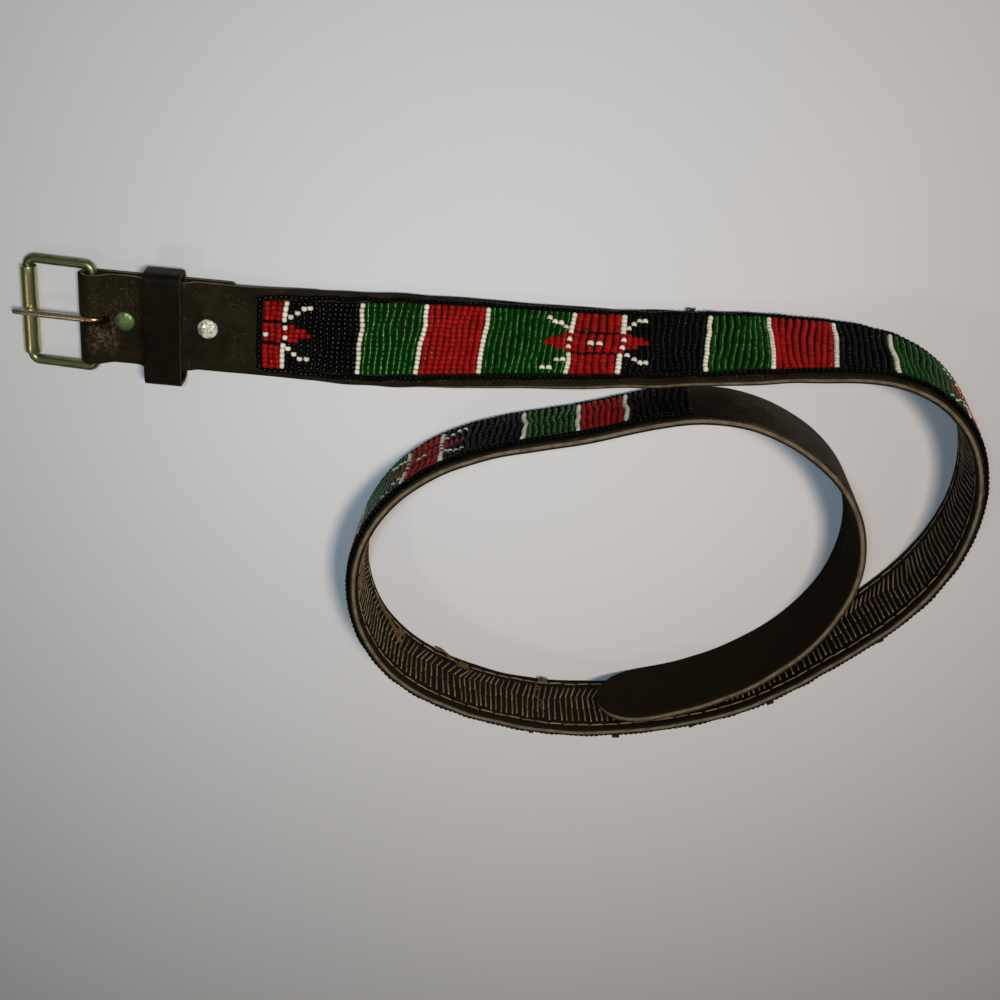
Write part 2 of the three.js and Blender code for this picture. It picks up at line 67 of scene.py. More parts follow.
@dataclass(frozen=True)
class BeltSizes:
    """The belt's driving sizes in metres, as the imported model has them."""

    strap_length: float = 1170 * MM
    strap_width: float = 38 * MM
    strap_thickness: float = 3.4 * MM
    tip_length: float = 21 * MM
    flap_length: float = 59 * MM
    flap_corner: float = 3 * MM
    drop_length: float = 34 * MM
    clearance: float = 0.3 * MM
    frame_wire: float = 4 * MM
    keeper_length: float = 15 * MM
    keeper_thickness: float = 2 * MM
    rivet_to_bar: float = 13.4 * MM
    keeper_to_cap: float = 5.4 * MM
    cap_diameter: float = 8.3 * MM
    beadwork_start: float = 67.5 * MM
    bare_tongue: float = 250 * MM
    row_pitch: float = 2.5 * MM
    row_length: float = 29 * MM
    border_width: float = 2.4 * MM

    @property
    def fold_radius(self) -> float:
        """The radius of the strap's middle where it folds round the bar."""
        return self.frame_wire / 2 + self.clearance + self.strap_thickness / 2

    @property
    def bar_height(self) -> float:
        """The height of the buckle's hidden bar."""
        return self.strap_thickness / 2 + self.fold_radius

    @property
    def layer_lift(self) -> float:
        """How far the upper layer is lifted by the flap under it."""
        return self.strap_thickness + self.clearance

    @property
    def keeper_base(self) -> float:
        """The height of the keeper's inner floor."""
        return self.layer_lift + self.keeper_thickness

    @property
    def keeper_lift(self) -> float:
        """How far the upper layer is lifted over the keeper's floor."""
        return self.keeper_base + self.clearance

    @property
    def keeper_start(self) -> float:
        """The distance from the bar to the keeper."""
        return self.rivet_to_bar + self.cap_diameter / 2 + self.keeper_to_cap

    @property
    def keeper_end(self) -> float:
        """The distance from the bar to the keeper's far side."""
        return self.keeper_start + self.keeper_length

    @property
    def second_rivet(self) -> float:
        """The distance from the bar to the rear rivet."""
        return self.keeper_end + self.keeper_to_cap + self.cap_diameter / 2

    @property
    def rows_start(self) -> float:
        """The distance from the bar to the first row of beads."""
        return self.beadwork_start + self.border_width + self.clearance


# The heading in degrees and the strap's stand at shares of its length, as in the model
ROUTE = (
    (0, 0), (0.05, 0), (0.06, 0), (0.1, 7), (0.15, 4), (0.2, 6), (0.24, 5), (0.27, -5),
    (0.3, -40), (0.33, -78), (0.36, -107), (0.4, -132), (0.44, -142), (0.48, -160),
    (0.52, -175), (0.55, -188), (0.58, -206), (0.61, -239), (0.64, -273), (0.67, -305),
    (0.7, -332), (0.73, -345), (0.76, -341), (0.785, -351), (0.81, -377), (0.835, -399),
    (0.86, -428), (0.885, -459), (0.92, -489), (0.96, -513), (1, -531),
)
STAND = (
    (0, 0), (0.045, 0), (0.055, 0), (0.07, 5), (0.095, 20), (0.12, 37), (0.14, 47),
    (0.17, 56), (0.22, 65), (0.26, 76), (0.3, 86), (0.34, 90), (0.6, 90), (0.66, 92),
    (0.78, 94), (0.88, 91), (1, 90),
)


# Curves and frames along the strap


def smooth_column(rows: Sequence[tuple[float, float]], at: Array) -> Array:
    """A smooth curve through rows of share and value.

    Between two rows it is the cubic that meets both values, with the mean of the neighbouring
    slopes at an inner row and the slope of the end span at either end.

    Args:
        rows: Shares and values in rising order of share.
        at: Shares to read the curve at.

    Returns:
        The values there.
    """
    shares, values = np.array(rows, float).T
    slopes = np.diff(values) / np.diff(shares)
    tangents = np.concatenate([slopes[:1], (slopes[:-1] + slopes[1:]) / 2, slopes[-1:]])
    span = np.clip(np.searchsorted(shares, at, side="right") - 1, 0, len(slopes) - 1)
    width = shares[span + 1] - shares[span]
    p = (at - shares[span]) / width
    rise = values[span + 1] - values[span]
    start = tangents[span] * width
    end = tangents[span + 1] * width
    return values[span] + p * start + p**2 * (3 * rise - 2 * start - end) + p**3 * (start + end - 2 * rise)


def ease(low: float, high: float, at: Array) -> Array:
    """A smooth step from 0 at low to 1 at high: three squares less two cubes of the share."""
    share = np.clip((at - low) / (high - low), 0, 1)
    return share * share * (3 - 2 * share)


def unit(vectors: Array) -> Array:
    """Vectors scaled to length one, along the last axis."""
    return vectors / np.linalg.norm(vectors, axis=-1, keepdims=True)


def full_turn(count: int, start: float = 0.0) -> Array:
    """Even angles round a circle, in radians, the first one at that share of a step."""
    return (np.arange(count) + start) / count * 2 * math.pi


def ripple(
    seed: int, terms: int, long_wave: float, cross_wave: float, along: Array, across: Array
) -> Array:
    """A smooth field of about unit height over the strap: a sum of slanted sine waves.

    Each wave has its own length near the ones given, its own slant and phase. The sum is divided
    by the square root of half the number of waves.

    Args:
        seed: Which field.
        terms: How many waves.
        long_wave: The typical wavelength along the strap, in metres.
        cross_wave: The typical wavelength across it.
        along: Distances from the bar.
        across: Places across the strap.

    Returns:
        The field's values.
    """
    rng = np.random.default_rng(seed)
    total = np.zeros(np.broadcast(along, across).shape)
    for _ in range(terms):
        cycles = along / (long_wave * rng.uniform(0.6, 1.6)) + across * rng.uniform(-1, 1) / cross_wave
        total = total + np.sin(2 * math.pi * (cycles + rng.uniform()))
    return total / math.sqrt(terms / 2)


def sway(seed: int, terms: int, wave: float, along: Array) -> Array:
    """A smooth curve of about unit height along the strap: a ripple that is the same across it."""
    return ripple(seed, terms, wave, 1.0, along, 0 * along)


@dataclass(frozen=True)
class Stations:
    """Frames along the strap, one row for each distance from the bar."""

    distance: Array
    middle: Array
    along: Array
    out: Array
    across: Array

    def place(self, across: Array, out: Array, along: Array | float = 0.0) -> Array:
        """Points at offsets from the stations.

        Args:
            across: Offsets across the strap, one for each station or with further axes.
            out: Offsets out of the beaded face, of the same shape.
            along: Offsets along the strap.

        Returns:
            Points with one more axis than the offsets.
        """
        across, out, along = np.broadcast_arrays(across, out, along)
        grow = (slice(None),) + (None,) * (across.ndim - 1) + (slice(None),)
        point = self.middle[grow] + across[..., None] * self.across[grow]
        return point + out[..., None] * self.out[grow] + along[..., None] * self.along[grow]

    def joined(self, other: "Stations") -> "Stations":
        """These stations followed by the others."""
        names = ("distance", "middle", "along", "out", "across")
        return Stations(*(np.concatenate([getattr(self, n), getattr(other, n)]) for n in names))


class BeltPath:
    """The route of the strap's middle, with its section's frame at any distance from the bar.

    The waves of the free part fade in and out between pairs of distances. The hollow and the
    crease of the bare tongue are bells, given by their distance, place across, reach along,
    reach across and height.
    """

    STEPS = 1200
    WAVES_IN = (95 * MM, 135 * MM)
    WAVES_OUT = (1110 * MM, 1060 * MM)
    WAVE_HEIGHT = 0.22 * MM
    HOLLOW = (934 * MM, 4 * MM, 13 * MM, 9 * MM, -2.0 * MM)
    CREASE = (950 * MM, 2 * MM, 3.5 * MM, 10 * MM, 1.0 * MM)
    CREASE_SLANT = 0.35

    def __init__(self, sizes: BeltSizes) -> None:
        """Steps along the route at its headings, from the bar that the strap's box gives."""
        self.sizes = sizes
        self.bar_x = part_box("strap")[0].x + sizes.fold_radius + sizes.strap_thickness / 2
        self.bar_y = sum(corner.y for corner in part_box("keeper")) / 2
        self.step = sizes.strap_length / self.STEPS
        heading = np.radians(smooth_column(ROUTE, (np.arange(self.STEPS) + 0.5) / self.STEPS))
        steps = np.stack([np.cos(heading), np.sin(heading)], axis=1) * self.step
        self.track = np.concatenate([np.zeros((1, 2)), np.cumsum(steps, axis=0)])
        self.track += (self.bar_x, self.bar_y)

    def lift(self, distance: Array) -> Array:
        """How far the strap's lower face is off the table, eased from place to place."""
        s = self.sizes
        seat = s.cap_diameter / 2 + 2 * s.clearance
        at = (
            0, s.rivet_to_bar - seat, s.rivet_to_bar + seat, s.keeper_start - s.clearance,
            s.keeper_end + s.clearance, s.second_rivet - seat, s.flap_length + s.clearance,
            s.flap_length + s.drop_length,
        )
        lifts = (
            2 * s.fold_radius, s.layer_lift, s.layer_lift, s.keeper_lift,
            s.keeper_lift, s.layer_lift, s.layer_lift, 0,
        )
        total = np.full(np.shape(distance), float(lifts[0]))
        for i in range(1, len(at)):
            total = total + (lifts[i] - lifts[i - 1]) * ease(at[i - 1], at[i], distance)
        return total

    def middle(self, distance: Array) -> Array:
        """The middle of the strap's section at distances from the bar."""
        share = np.clip(distance / self.sizes.strap_length, 0, 1)
        index = share * self.STEPS
        plan = [np.interp(index, np.arange(self.STEPS + 1), self.track[:, axis]) for axis in (0, 1)]
        stand = np.radians(smooth_column(STAND, share))
        rest = np.sin(stand) * self.sizes.strap_width + np.abs(np.cos(stand)) * self.sizes.strap_thickness
        return np.stack([*plan, rest / 2 + self.lift(distance)], axis=-1)

    def stations(self, distance: Array) -> Stations:
        """The section's frames: along the route, out of the beaded face, and across.

        Out is up turned towards the left by the stand, made square to the route; across is
        along times out, so it points to the near side, which is the raised one.
        """
        distance = np.asarray(distance, float)
        end = self.sizes.strap_length
        ahead = self.middle(np.minimum(distance + self.step, end))
        along = unit(ahead - self.middle(np.maximum(distance - self.step, 0)))
        left = unit(np.cross((0.0, 0.0, 1.0), along))
        stand = np.radians(smooth_column(STAND, np.clip(distance / end, 0, 1)))[..., None]
        out = np.cos(stand) * np.array((0.0, 0.0, 1.0)) + np.sin(stand) * left
        out = unit(out - np.sum(out * along, axis=-1, keepdims=True) * along)
        return Stations(distance, self.middle(distance), along, out, np.cross(along, out))

    def relief(self, distance: Array, across: Array) -> Array:
        """How far the leather stands off its even route, out of the beaded face.

        Slow waves along the free part, and on the bare tongue a hollow that ends in a crease by
        the first slit.
        """
        free = ease(*self.WAVES_IN, distance) * ease(*self.WAVES_OUT, distance)
        waves = np.clip(1 + 0.6 * ripple(61, 6, 75 * MM, 70 * MM, distance, across), 0, 2)
        total = self.WAVE_HEIGHT * waves
        for (at, side, long, wide, height), slant in ((self.HOLLOW, 0.0), (self.CREASE, self.CREASE_SLANT)):
            ahead = (distance - at - slant * across) / long
            total = total + height * np.exp(-(ahead**2) - ((across - side) / wide) ** 2)
        return free * total

    def flap_stations(self, count: int, fold_count: int) -> Stations:
        """Frames of the flap under the strap and of its half turn round the bar.

        The flap runs back to the bar along the table; the fold is a half circle round the bar,
        at distances counted back from the bar's top.
        """
        s = self.sizes
        turn = np.linspace(0, math.pi, fold_count, endpoint=False)
        zero = np.zeros(fold_count)
        out = np.stack([-np.sin(turn), zero, -np.cos(turn)], axis=1)
        along = np.stack([-np.cos(turn), zero, np.sin(turn)], axis=1)
        bar = np.array([self.bar_x, self.bar_y, s.bar_height])
        across = np.tile((0.0, -1.0, 0.0), (fold_count, 1))
        fold = Stations((turn - math.pi) * s.fold_radius, bar + s.fold_radius * out, along, out, across)
        x = np.linspace(s.flap_length, 0, count, endpoint=False)
        one = np.ones(count)
        middle = np.stack([self.bar_x + x, self.bar_y * one, s.strap_thickness / 2 * one], axis=1)
        axes = ((-1.0, 0.0, 0.0), (0.0, 0.0, -1.0), (0.0, -1.0, 0.0))
        flat = (np.tile(axis, (count, 1)) for axis in axes)
        return Stations(-math.pi * s.fold_radius - x, middle, *flat).joined(fold)


# Meshes from whole arrays


def write_attribute(mesh: bpy.types.Mesh, name: str, value: Array) -> None:
    """Gives a mesh a number for each vertex, or a vector where the array has rows."""
    kind, label = ("FLOAT_VECTOR", "vector") if value.ndim == 2 else ("FLOAT", "value")
    mesh.attributes.new(name, kind, "POINT").data.foreach_set(label, value.astype(np.float32).ravel())


@dataclass
class Surface:
    """Vertices and faces, with values for each vertex by name.

    Faces are rows of vertex numbers; caps are single faces of any size.
    """

    vertices: Array
    quads: Array = field(default_factory=lambda: np.zeros((0, 4), int))
    triangles: Array = field(default_factory=lambda: np.zeros((0, 3), int))
    caps: list[Array] = field(default_factory=list)
    values: dict[str, Array] = field(default_factory=dict)

    def mesh(self, name: str, smooth: bool = True) -> bpy.types.Mesh:
        """The Blender mesh of this surface, filled by foreach_set."""
        mesh = bpy.data.meshes.new(name)
        mesh.vertices.add(len(self.vertices))
        mesh.vertices.foreach_set("co", self.vertices.astype(np.float32).ravel())
        groups = [self.quads, self.triangles] + [np.array([cap]) for cap in self.caps]
        corners = np.concatenate([g.ravel() for g in groups]).astype(np.int32)
        totals = np.concatenate([np.full(len(g), g.shape[1]) for g in groups]).astype(np.int32)
        mesh.loops.add(len(corners))
        mesh.loops.foreach_set("vertex_index", corners)
        mesh.polygons.add(len(totals))
        mesh.polygons.foreach_set("loop_start", (np.cumsum(totals) - totals).astype(np.int32))
        mesh.polygons.foreach_set("use_smooth", np.full(len(totals), smooth))
        for key, value in self.values.items():
            write_attribute(mesh, key, value)
        mesh.update(calc_edges=True)
        mesh.validate()
        return mesh


def join_surfaces(surfaces: Sequence[Surface]) -> Surface:
    """Several surfaces as one, with their values joined by name."""
    starts = np.cumsum([0] + [len(s.vertices) for s in surfaces])
    shifted = list(zip(surfaces, starts))
    return Surface(
        np.concatenate([s.vertices for s in surfaces]),
        np.concatenate([s.quads + start for s, start in shifted]),
        np.concatenate([s.triangles + start for s, start in shifted]),
        [cap + start for s, start in shifted for cap in s.caps],
        {key: np.concatenate([s.values[key] for s in surfaces]) for key in surfaces[0].values},
    )


def grid_quads(rows: int, columns: int, close_rows: bool = False) -> Array:
    """Faces of a grid whose columns close into a ring, and whose rows may close too.

    Args:
        rows: Rings along the path.
        columns: Points round each ring.
        close_rows: Whether the last ring joins the first.

    Returns:
        Rows of four vertex numbers.
    """
    i = np.arange(rows if close_rows else rows - 1)[:, None]
    j = np.arange(columns)[None, :]
    here, after = i * columns, (i + 1) % rows * columns
    beside = (j + 1) % columns
    return np.stack([here + j, here + beside, after + beside, after + j], axis=-1).reshape(-1, 4)


def ring_surface(rings: Array, closed: bool = False, values: dict[str, Array] | None = None) -> Surface:
    """A tube through rings of points, closed into a loop or capped at both ends.

    Args:
        rings: Points as path by ring by three.
        closed: Whether the path is a loop.
        values: Values by name, as path by ring, with three numbers more for a vector.

    Returns:
        The surface, its faces outwards where the rings turn from out towards across.
    """
    count, around = rings.shape[:2]
    caps = [] if closed else [np.arange(around)[::-1], (count - 1) * around + np.arange(around)]
    flat = {key: v.reshape(count * around, *v.shape[2:]) for key, v in (values or {}).items()}
    return Surface(rings.reshape(-1, 3), grid_quads(count, around, closed), caps=caps, values=flat)


def tube_bundle(paths: Array, normals: Array, side: float, up: float, sides: int) -> Surface:
    """Many thin tubes at once, each along its own path, with an oval section.

    Args:
        paths: Points as tube by step by three.
        normals: The direction in which each tube's height is measured, of the same shape.
        side: The half width.
        up: The half height.
        sides: Points round each tube.

    Returns:
        One surface, with each vertex's share along its tube and turn round it.
    """
    count, steps = paths.shape[:2]
    tangent = unit(np.gradient(paths, axis=1))
    lateral = unit(np.cross(tangent, normals))
    normal = np.cross(lateral, tangent)
    turn = full_turn(sides)
    sideways = lateral[:, :, None] * np.sin(turn)[:, None] * side
    upwards = normal[:, :, None] * np.cos(turn)[:, None] * up
    points = paths[:, :, None] + (sideways + upwards)
    quads = grid_quads(steps, sides)
    starts = np.arange(count) * steps * sides
    ends = np.arange(sides)
    caps = [c + start for start in starts for c in (ends[::-1], (steps - 1) * sides + ends)]
    share = np.broadcast_to(np.linspace(0, 1, steps)[None, :, None], (count, steps, sides))
    number = np.broadcast_to(np.arange(count)[:, None, None] * GOLDEN_SHARE % 1, (count, steps, sides))
    return Surface(
        points.reshape(-1, 3),
        (quads[None] + starts[:, None, None]).reshape(-1, 4),
        caps=caps,
        values={"share": share.ravel(), "tint": number.ravel()},
    )


def rounded_outline(width: float, height: float, radius: float, corner_steps: int, straight: int) -> Array:
    """A rounded rectangle about the origin, as points with outward normals.

    Four quarter circles joined by straight runs, walked clockwise from the middle of the right
    side when the first axis points right and the second up.

    Args:
        width: The full width.
        height: The full height.
        radius: The corner's radius.
        corner_steps: Points along each quarter circle.
        straight: Points along each straight run.

    Returns:
        Rows of two coordinates and two parts of the normal.
    """
    rows = []
    reach = np.array([width / 2 - radius, height / 2 - radius])
    signs = ((1, -1), (-1, -1), (-1, 1), (1, 1))
    for number, sign in enumerate(signs):
        turn = -(number + np.linspace(0, 1, corner_steps)) * math.pi / 2
        normal = np.stack([np.cos(turn), np.sin(turn)], axis=1)
        rows.append(np.hstack([reach * sign + radius * normal, normal]))
        after = reach * signs[(number + 1) % 4] + radius * normal[-1]
        share = np.linspace(0, 1, straight + 2)[1:-1, None]
        run = rows[-1][-1, :2] + (after - rows[-1][-1, :2]) * share
        rows.append(np.hstack([run, np.tile(normal[-1], (straight, 1))]))
    return np.concatenate(rows)


def finish_piece(
    mesh: bpy.types.Mesh,
    name: str,
    material: bpy.types.Material,
    body: str,
    replaced: Sequence[str] = (),
) -> bpy.types.Object:
    """Puts a mesh in the scene as a named piece that rides on a body.

    Args:
        mesh: The finished mesh, in its place.
        name: The piece's name.
        material: Its finish.
        body: The body it rides on.
        replaced: The model's nodes that it stands for.

    Returns:
        The new object.
    """
    piece = bpy.data.objects.new(name, mesh)
    bpy.context.scene.collection.objects.link(piece)
    mesh.materials.clear()
    mesh.materials.append(material)
    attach(piece, body)
    if replaced:
        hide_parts(*replaced)
    LOG.info("%s: %d vertices, %d faces", name, len(mesh.vertices), len(mesh.polygons))
    return piece


# Shader maths


class Signal:
    """One socket of a material, with arithmetic that adds Math nodes."""

    def __init__(self, graph: "Graph", socket: bpy.types.NodeSocket) -> None:
        """Wraps the socket of that graph."""
        self.graph = graph
        self.socket = socket

    def _math(self, operation: str, *values: "Signal | float") -> "Signal":
        """A Math node on the values."""
        inputs = dict(enumerate(values))
        return self.graph.add("ShaderNodeMath", {"operation": operation}, inputs)

    def __add__(self, other: "Signal | float") -> "Signal":
        """The sum."""
        return self._math("ADD", self, other)

    __radd__ = __add__

    def __sub__(self, other: "Signal | float") -> "Signal":
        """The difference."""
        return self._math("SUBTRACT", self, other)

    def __rsub__(self, other: "Signal | float") -> "Signal":
        """The difference, this one taken away."""
        return self._math("SUBTRACT", other, self)

    def __mul__(self, other: "Signal | float") -> "Signal":
        """The product."""
        return self._math("MULTIPLY", self, other)

    def __abs__(self) -> "Signal":
        """The size without its sign."""
        return self._math("ABSOLUTE", self)

    def ramp(self, low: float, high: float) -> "Signal":
        """A smooth step from 0 at low to 1 at high; low may be the larger."""
        flip = low > high
        bounds = {1: min(low, high), 2: max(low, high)}
        settings = {"interpolation_type": "SMOOTHSTEP"}
        step = self.graph.add("ShaderNodeMapRange", settings, {0: self, **bounds})
        return 1 - step if flip else step


class Graph:
    """The nodes of one material, ending in its Principled shader."""

    def __init__(self, name: str) -> None:
        """Makes the material with a bare Principled shader."""
        self.material = bpy.data.materials.new(name)
        self.material.use_nodes = True
        self.tree = self.material.node_tree
        self.shader = self.tree.nodes["Principled BSDF"]

    def plug(self, socket: bpy.types.NodeSocket, value: "Signal | float | Sequence[float]") -> None:
        """Links a signal to a socket, or sets the socket's own value."""
        if isinstance(value, Signal):
            self.tree.links.new(value.socket, socket)
        else:
            socket.default_value = value

    def add(
        self, kind: str, settings: dict | None = None, inputs: dict | None = None, output: int | str = 0
    ) -> Signal:
        """A node of any type.

        Args:
            kind: The node's type.
            settings: Its settings, made first.
            inputs: Values or signals by socket.
            output: The socket that the result reads.

        Returns:
            The chosen output.
        """
        node = self.tree.nodes.new(kind)
        for key, value in (settings or {}).items():
            setattr(node, key, value)
        for key, value in (inputs or {}).items():
            self.plug(node.inputs[key], value)
        return Signal(self, node.outputs[output])

    def object_place(self) -> Signal:
        """Object coordinates, in metres."""
        return self.add("ShaderNodeTexCoord", output="Object")

    def vector(self, name: str) -> Signal:
        """The piece's own vector attribute of that name."""
        return self.add("ShaderNodeAttribute", {"attribute_name": name}, output="Vector")

    def number(self, name: str) -> Signal:
        """The piece's own number attribute of that name."""
        return self.add("ShaderNodeAttribute", {"attribute_name": name}, output="Fac")

    def axes(self, place: Signal) -> tuple[Signal, Signal, Signal]:
        """The three parts of a vector."""
        node = self.add("ShaderNodeSeparateXYZ", inputs={0: place}).socket.node
        return tuple(Signal(self, socket) for socket in node.outputs)

    def stretch(self, place: Signal, scale: Sequence[float]) -> Signal:
        """A vector scaled along each axis."""
        return self.add("ShaderNodeVectorMath", {"operation": "MULTIPLY"}, {0: place, 1: tuple(scale)})

    def noise(self, place: Signal, size: float, detail: float, rough: float) -> Signal:
        """Noise from 0 to 1 with lumps of that size in metres."""
        inputs = {"Vector": place, "Scale": 1 / size, "Detail": detail, "Roughness": rough}
        return self.add("ShaderNodeTexNoise", inputs=inputs)

    def cells(self, place: Signal, size: float) -> Signal:
        """The distance to the nearest cell point, with cells of that size in metres."""
        return self.add("ShaderNodeTexVoronoi", {"feature": "F1"}, {"Vector": place, "Scale": 1 / size})

    def blend(self, factor: "Signal | float", low: "Signal | Colour", high: "Signal | Colour") -> Signal:
        """A colour between two by a factor."""
        low, high = (c if isinstance(c, Signal) else (*c, 1) for c in (low, high))
        return self.add("ShaderNodeMix", {"data_type": "RGBA"}, {0: factor, 6: low, 7: high}, 2)

    def bump(self, height: Signal, depth: float) -> Signal:
        """A normal from a height of 0 to 1 that stands for that depth in metres."""
        return self.add("ShaderNodeBump", inputs={"Height": height, "Distance": depth, "Strength": 1.0})

    def finish(self, **sockets: "Signal | float | Sequence[float]") -> bpy.types.Material:
        """Sets the shader's sockets by name, with _ for a space, and returns the material."""
        for key, value in sockets.items():
            self.plug(self.shader.inputs[key.replace("_", " ")], value)
        return self.material


# Finishes


@dataclass(frozen=True)
class Leather:
    """Dyed strap leather with a raw cut edge, patterned on the piece's flat lay.

    The lay attribute holds the distance along, the place across and the place through the
    thickness, in metres, as if the piece were laid out flat. The cut attribute is 1 on cut edges.
    The dye has crept over the arrises, so only the core of a cut edge is pale.
    """

    name: str
    dark: Colour = (0.0052, 0.0038, 0.0012)
    light: Colour = (0.0205, 0.0152, 0.0062)
    worn_and_sheen: Colour = (0.130, 0.100, 0.058)
    # The colour of scuffs, and of the painted sheen that lightens the strap's bare tongue.
    flesh: Colour = (0.0090, 0.0054, 0.0020)
    edge_light: Colour = (0.20, 0.165, 0.110)
    edge_dark: Colour = (0.070, 0.052, 0.030)
    core: float = 0.62 * MM
    rough: float = 0.58
    gloss: float = 0.035
    wear: float = 1.0
    # Whether to add the rubbed patch by the slot and the painted sheen along the bare tongue.
    fold_wear_and_tongue_sheen: bool = False

    def material(self) -> bpy.types.Material:
        """The finish: clouds of dye, pores, scuff marks and scratches, a suede back and fibrous edges, and
        on the strap a rubbed patch by the slot and a painted sheen along the bare tongue.
        """
        g = Graph(self.name)
        lay = g.vector("lay")
        along, across, through = g.axes(lay)
        clouds = g.noise(lay, 0.018, 4, 0.6)
        mottle = g.noise(lay, 0.0035, 3, 0.6)
        pores = g.cells(lay, 0.0010).ramp(0.1, 0.75)
        grain = g.noise(lay, 0.0007, 4, 0.7)
        flecks = g.noise(g.stretch(lay, (1.5, 0.8, 1)), 0.0012, 4, 0.75).ramp(0.42, 0.80)
        scratch = g.noise(g.stretch(lay, (0.12, 1, 1)), 0.0007, 2, 0.5).ramp(0.66, 0.76)
        cross_scratch = g.noise(g.stretch(lay, (1, 0.15, 1)), 0.0009, 2, 0.5).ramp(0.7, 0.8)
        patches = g.noise(lay, 0.011, 3, 0.6).ramp(0.42, 0.70)
        scuffs_and_sheen = (scratch * 0.5 + cross_scratch * 0.4 + flecks * 0.4 + mottle.ramp(0.6, 0.8) * 0.3) * patches
        scuffs_and_sheen = scuffs_and_sheen + flecks * g.noise(lay, 0.007, 3, 0.6).ramp(0.32, 0.66) * 0.46
        if self.fold_wear_and_tongue_sheen:
            near_slot = (abs(along - 0.005) + (mottle - 0.5) * 0.006).ramp(0.009, 0.003)
            rubbed = (abs(across - 0.006) + (mottle - 0.5) * 0.010).ramp(0.011, 0.003)
            smudge = g.noise(lay, 0.0022, 5, 0.75).ramp(0.38, 0.68) + flecks * 0.5
            # Painted sheen: the bare tongue's face is lightened to stand in for the light falling on it.
            tongue = along.ramp(0.915, 0.950) * (0.16 + mottle * 0.22)
            scuffs_and_sheen = scuffs_and_sheen + near_slot * rubbed * smudge * 0.55 + tongue
        face = g.blend(clouds.ramp(0.3, 0.7) * 0.7 + grain.ramp(0.35, 0.65) * 0.3, self.dark, self.light)
        # Scuffs, and on the strap's tongue the painted sheen, lighten the face towards one colour.
        face = g.blend((scuffs_and_sheen * self.wear).ramp(0.05, 1.1), face, self.worn_and_sheen)
        back = through.ramp(-0.0009, -0.0011)
        suede = g.blend(g.noise(lay, 0.0022, 4, 0.7) * 0.5, self.flesh, self.light)
        face = g.blend(back, face, suede)
        fibres = g.noise(g.stretch(lay, (0.35, 1, 2.5)), 0.0009, 4, 0.65)
        stains = g.noise(lay, 0.006, 3, 0.6).ramp(0.62, 0.42)
        raw = g.blend(fibres.ramp(0.3, 0.7) * 0.6 + stains * 0.4, self.edge_dark, self.edge_light)
        creep = (fibres - 0.5) * 0.0012
        bare = (abs(through) + creep).ramp(self.core + 0.0003, self.core - 0.0002)
        cut = g.number("cut").ramp(0.3, 0.8)
        height = grain * 0.9 + mottle * 0.6 + pores * 0.2 - scratch * patches * 0.3
        height = height * (1 - cut) + fibres * cut
        shine = self.rough + (mottle - 0.5) * 0.25 + scuffs_and_sheen * 0.12 + back * 0.3
        return g.finish(
            Base_Color=g.blend(cut * bare, face, raw),
            Roughness=shine * (1 - cut) + cut * 0.85,
            Specular_IOR_Level=self.gloss,
            Normal=g.bump(height, 0.00022),
        )


@dataclass(frozen=True)
class Metal:
    """Old metal with a patina, rubbed bright in patches, patterned on object coordinates."""

    name: str
    bright: Colour
    dull: Colour
    rough: float
    metallic: float = 1.0
    patina: float = 0.5
    dents: float = 0.00006
    cloud_size: float = 0.004
    warm_end: Colour | None = None
    cool_end: Colour | None = None
    warm_x: tuple[float, float] = (0.0, 1.0)
    cool_x: tuple[float, float] = (0.0, 1.0)

    def material(self) -> bpy.types.Material:
        """The finish, with a warmer colour at one end and a cooler at the other where they are given."""
        g = Graph(self.name)
        place = g.object_place()
        clouds = g.noise(place, self.cloud_size, 4, 0.6)
        specks = g.noise(place, 0.0009, 3, 0.6)
        dull = (clouds * 0.7 + specks * 0.3 - 0.5 + (self.patina - 0.5)).ramp(-0.12, 0.14)
        colour = g.blend(dull, self.bright, self.dull)
        if self.warm_end is not None:
            x = g.axes(place)[0]
            warm = (x + (clouds - 0.5) * 0.004).ramp(*self.warm_x)
            cool = (x + (clouds - 0.5) * 0.003).ramp(*self.cool_x)
            colour = g.blend(cool, g.blend(warm, colour, self.warm_end), self.cool_end)
        return g.finish(
            Base_Color=colour,
            Metallic=self.metallic,
            Roughness=self.rough + dull * 0.14 + specks * 0.06,
            Normal=g.bump(clouds * 0.6 + specks * 0.4, self.dents),
        )


@dataclass(frozen=True)
class Glass:
    """Glass seed beads of one colour.

    The tint attribute differs from bead to bead, and crest is 1 along the top of a bead and falls
    round it. A painted highlight, a broken bright line near the crest, stands in for the light's sheen along
    a row.
    """

    name: str
    deep: Colour
    pale: Colour
    # The painted highlight's colour and strength: a bright line near the crest that stands in for the
    # light's sheen.
    painted_highlight: Colour = (0.0, 0.0, 0.0)
    painted_highlight_share: float = 0.0
    rough: float = 0.08
    gloss: float = 0.03
    glint: float = 0.34

    def material(self) -> bpy.types.Material:
        """The finish: tinted bead by bead, darker towards the sides, with its painted highlight near the
        crest.
        """
        g = Graph(self.name)
        tint = g.number("tint")
        crest = g.number("crest")
        place = g.object_place()
        cloud = g.noise(place, 0.0011, 2, 0.5)
        body = g.blend(tint * 0.75 + cloud * 0.25, self.deep, self.pale)
        if self.painted_highlight_share > 0:
            # The painted highlight: a broken bright line along each bead's crest that stands in for the
            # light's sheen.
            broken = g.noise(place, 0.0022, 2, 0.5).ramp(0.36, 0.6)
            line = crest.ramp(0.93, 0.995) * broken * (0.35 + tint * 0.65)
            body = g.blend(line * self.painted_highlight_share, body, self.painted_highlight)
        return g.finish(
            Base_Color=body,
            Roughness=self.rough + cloud * 0.06,
            Specular_IOR_Level=self.gloss,
            Coat_Weight=crest.ramp(0.90, 0.99) * self.glint,
            Coat_Roughness=self.rough,
        )


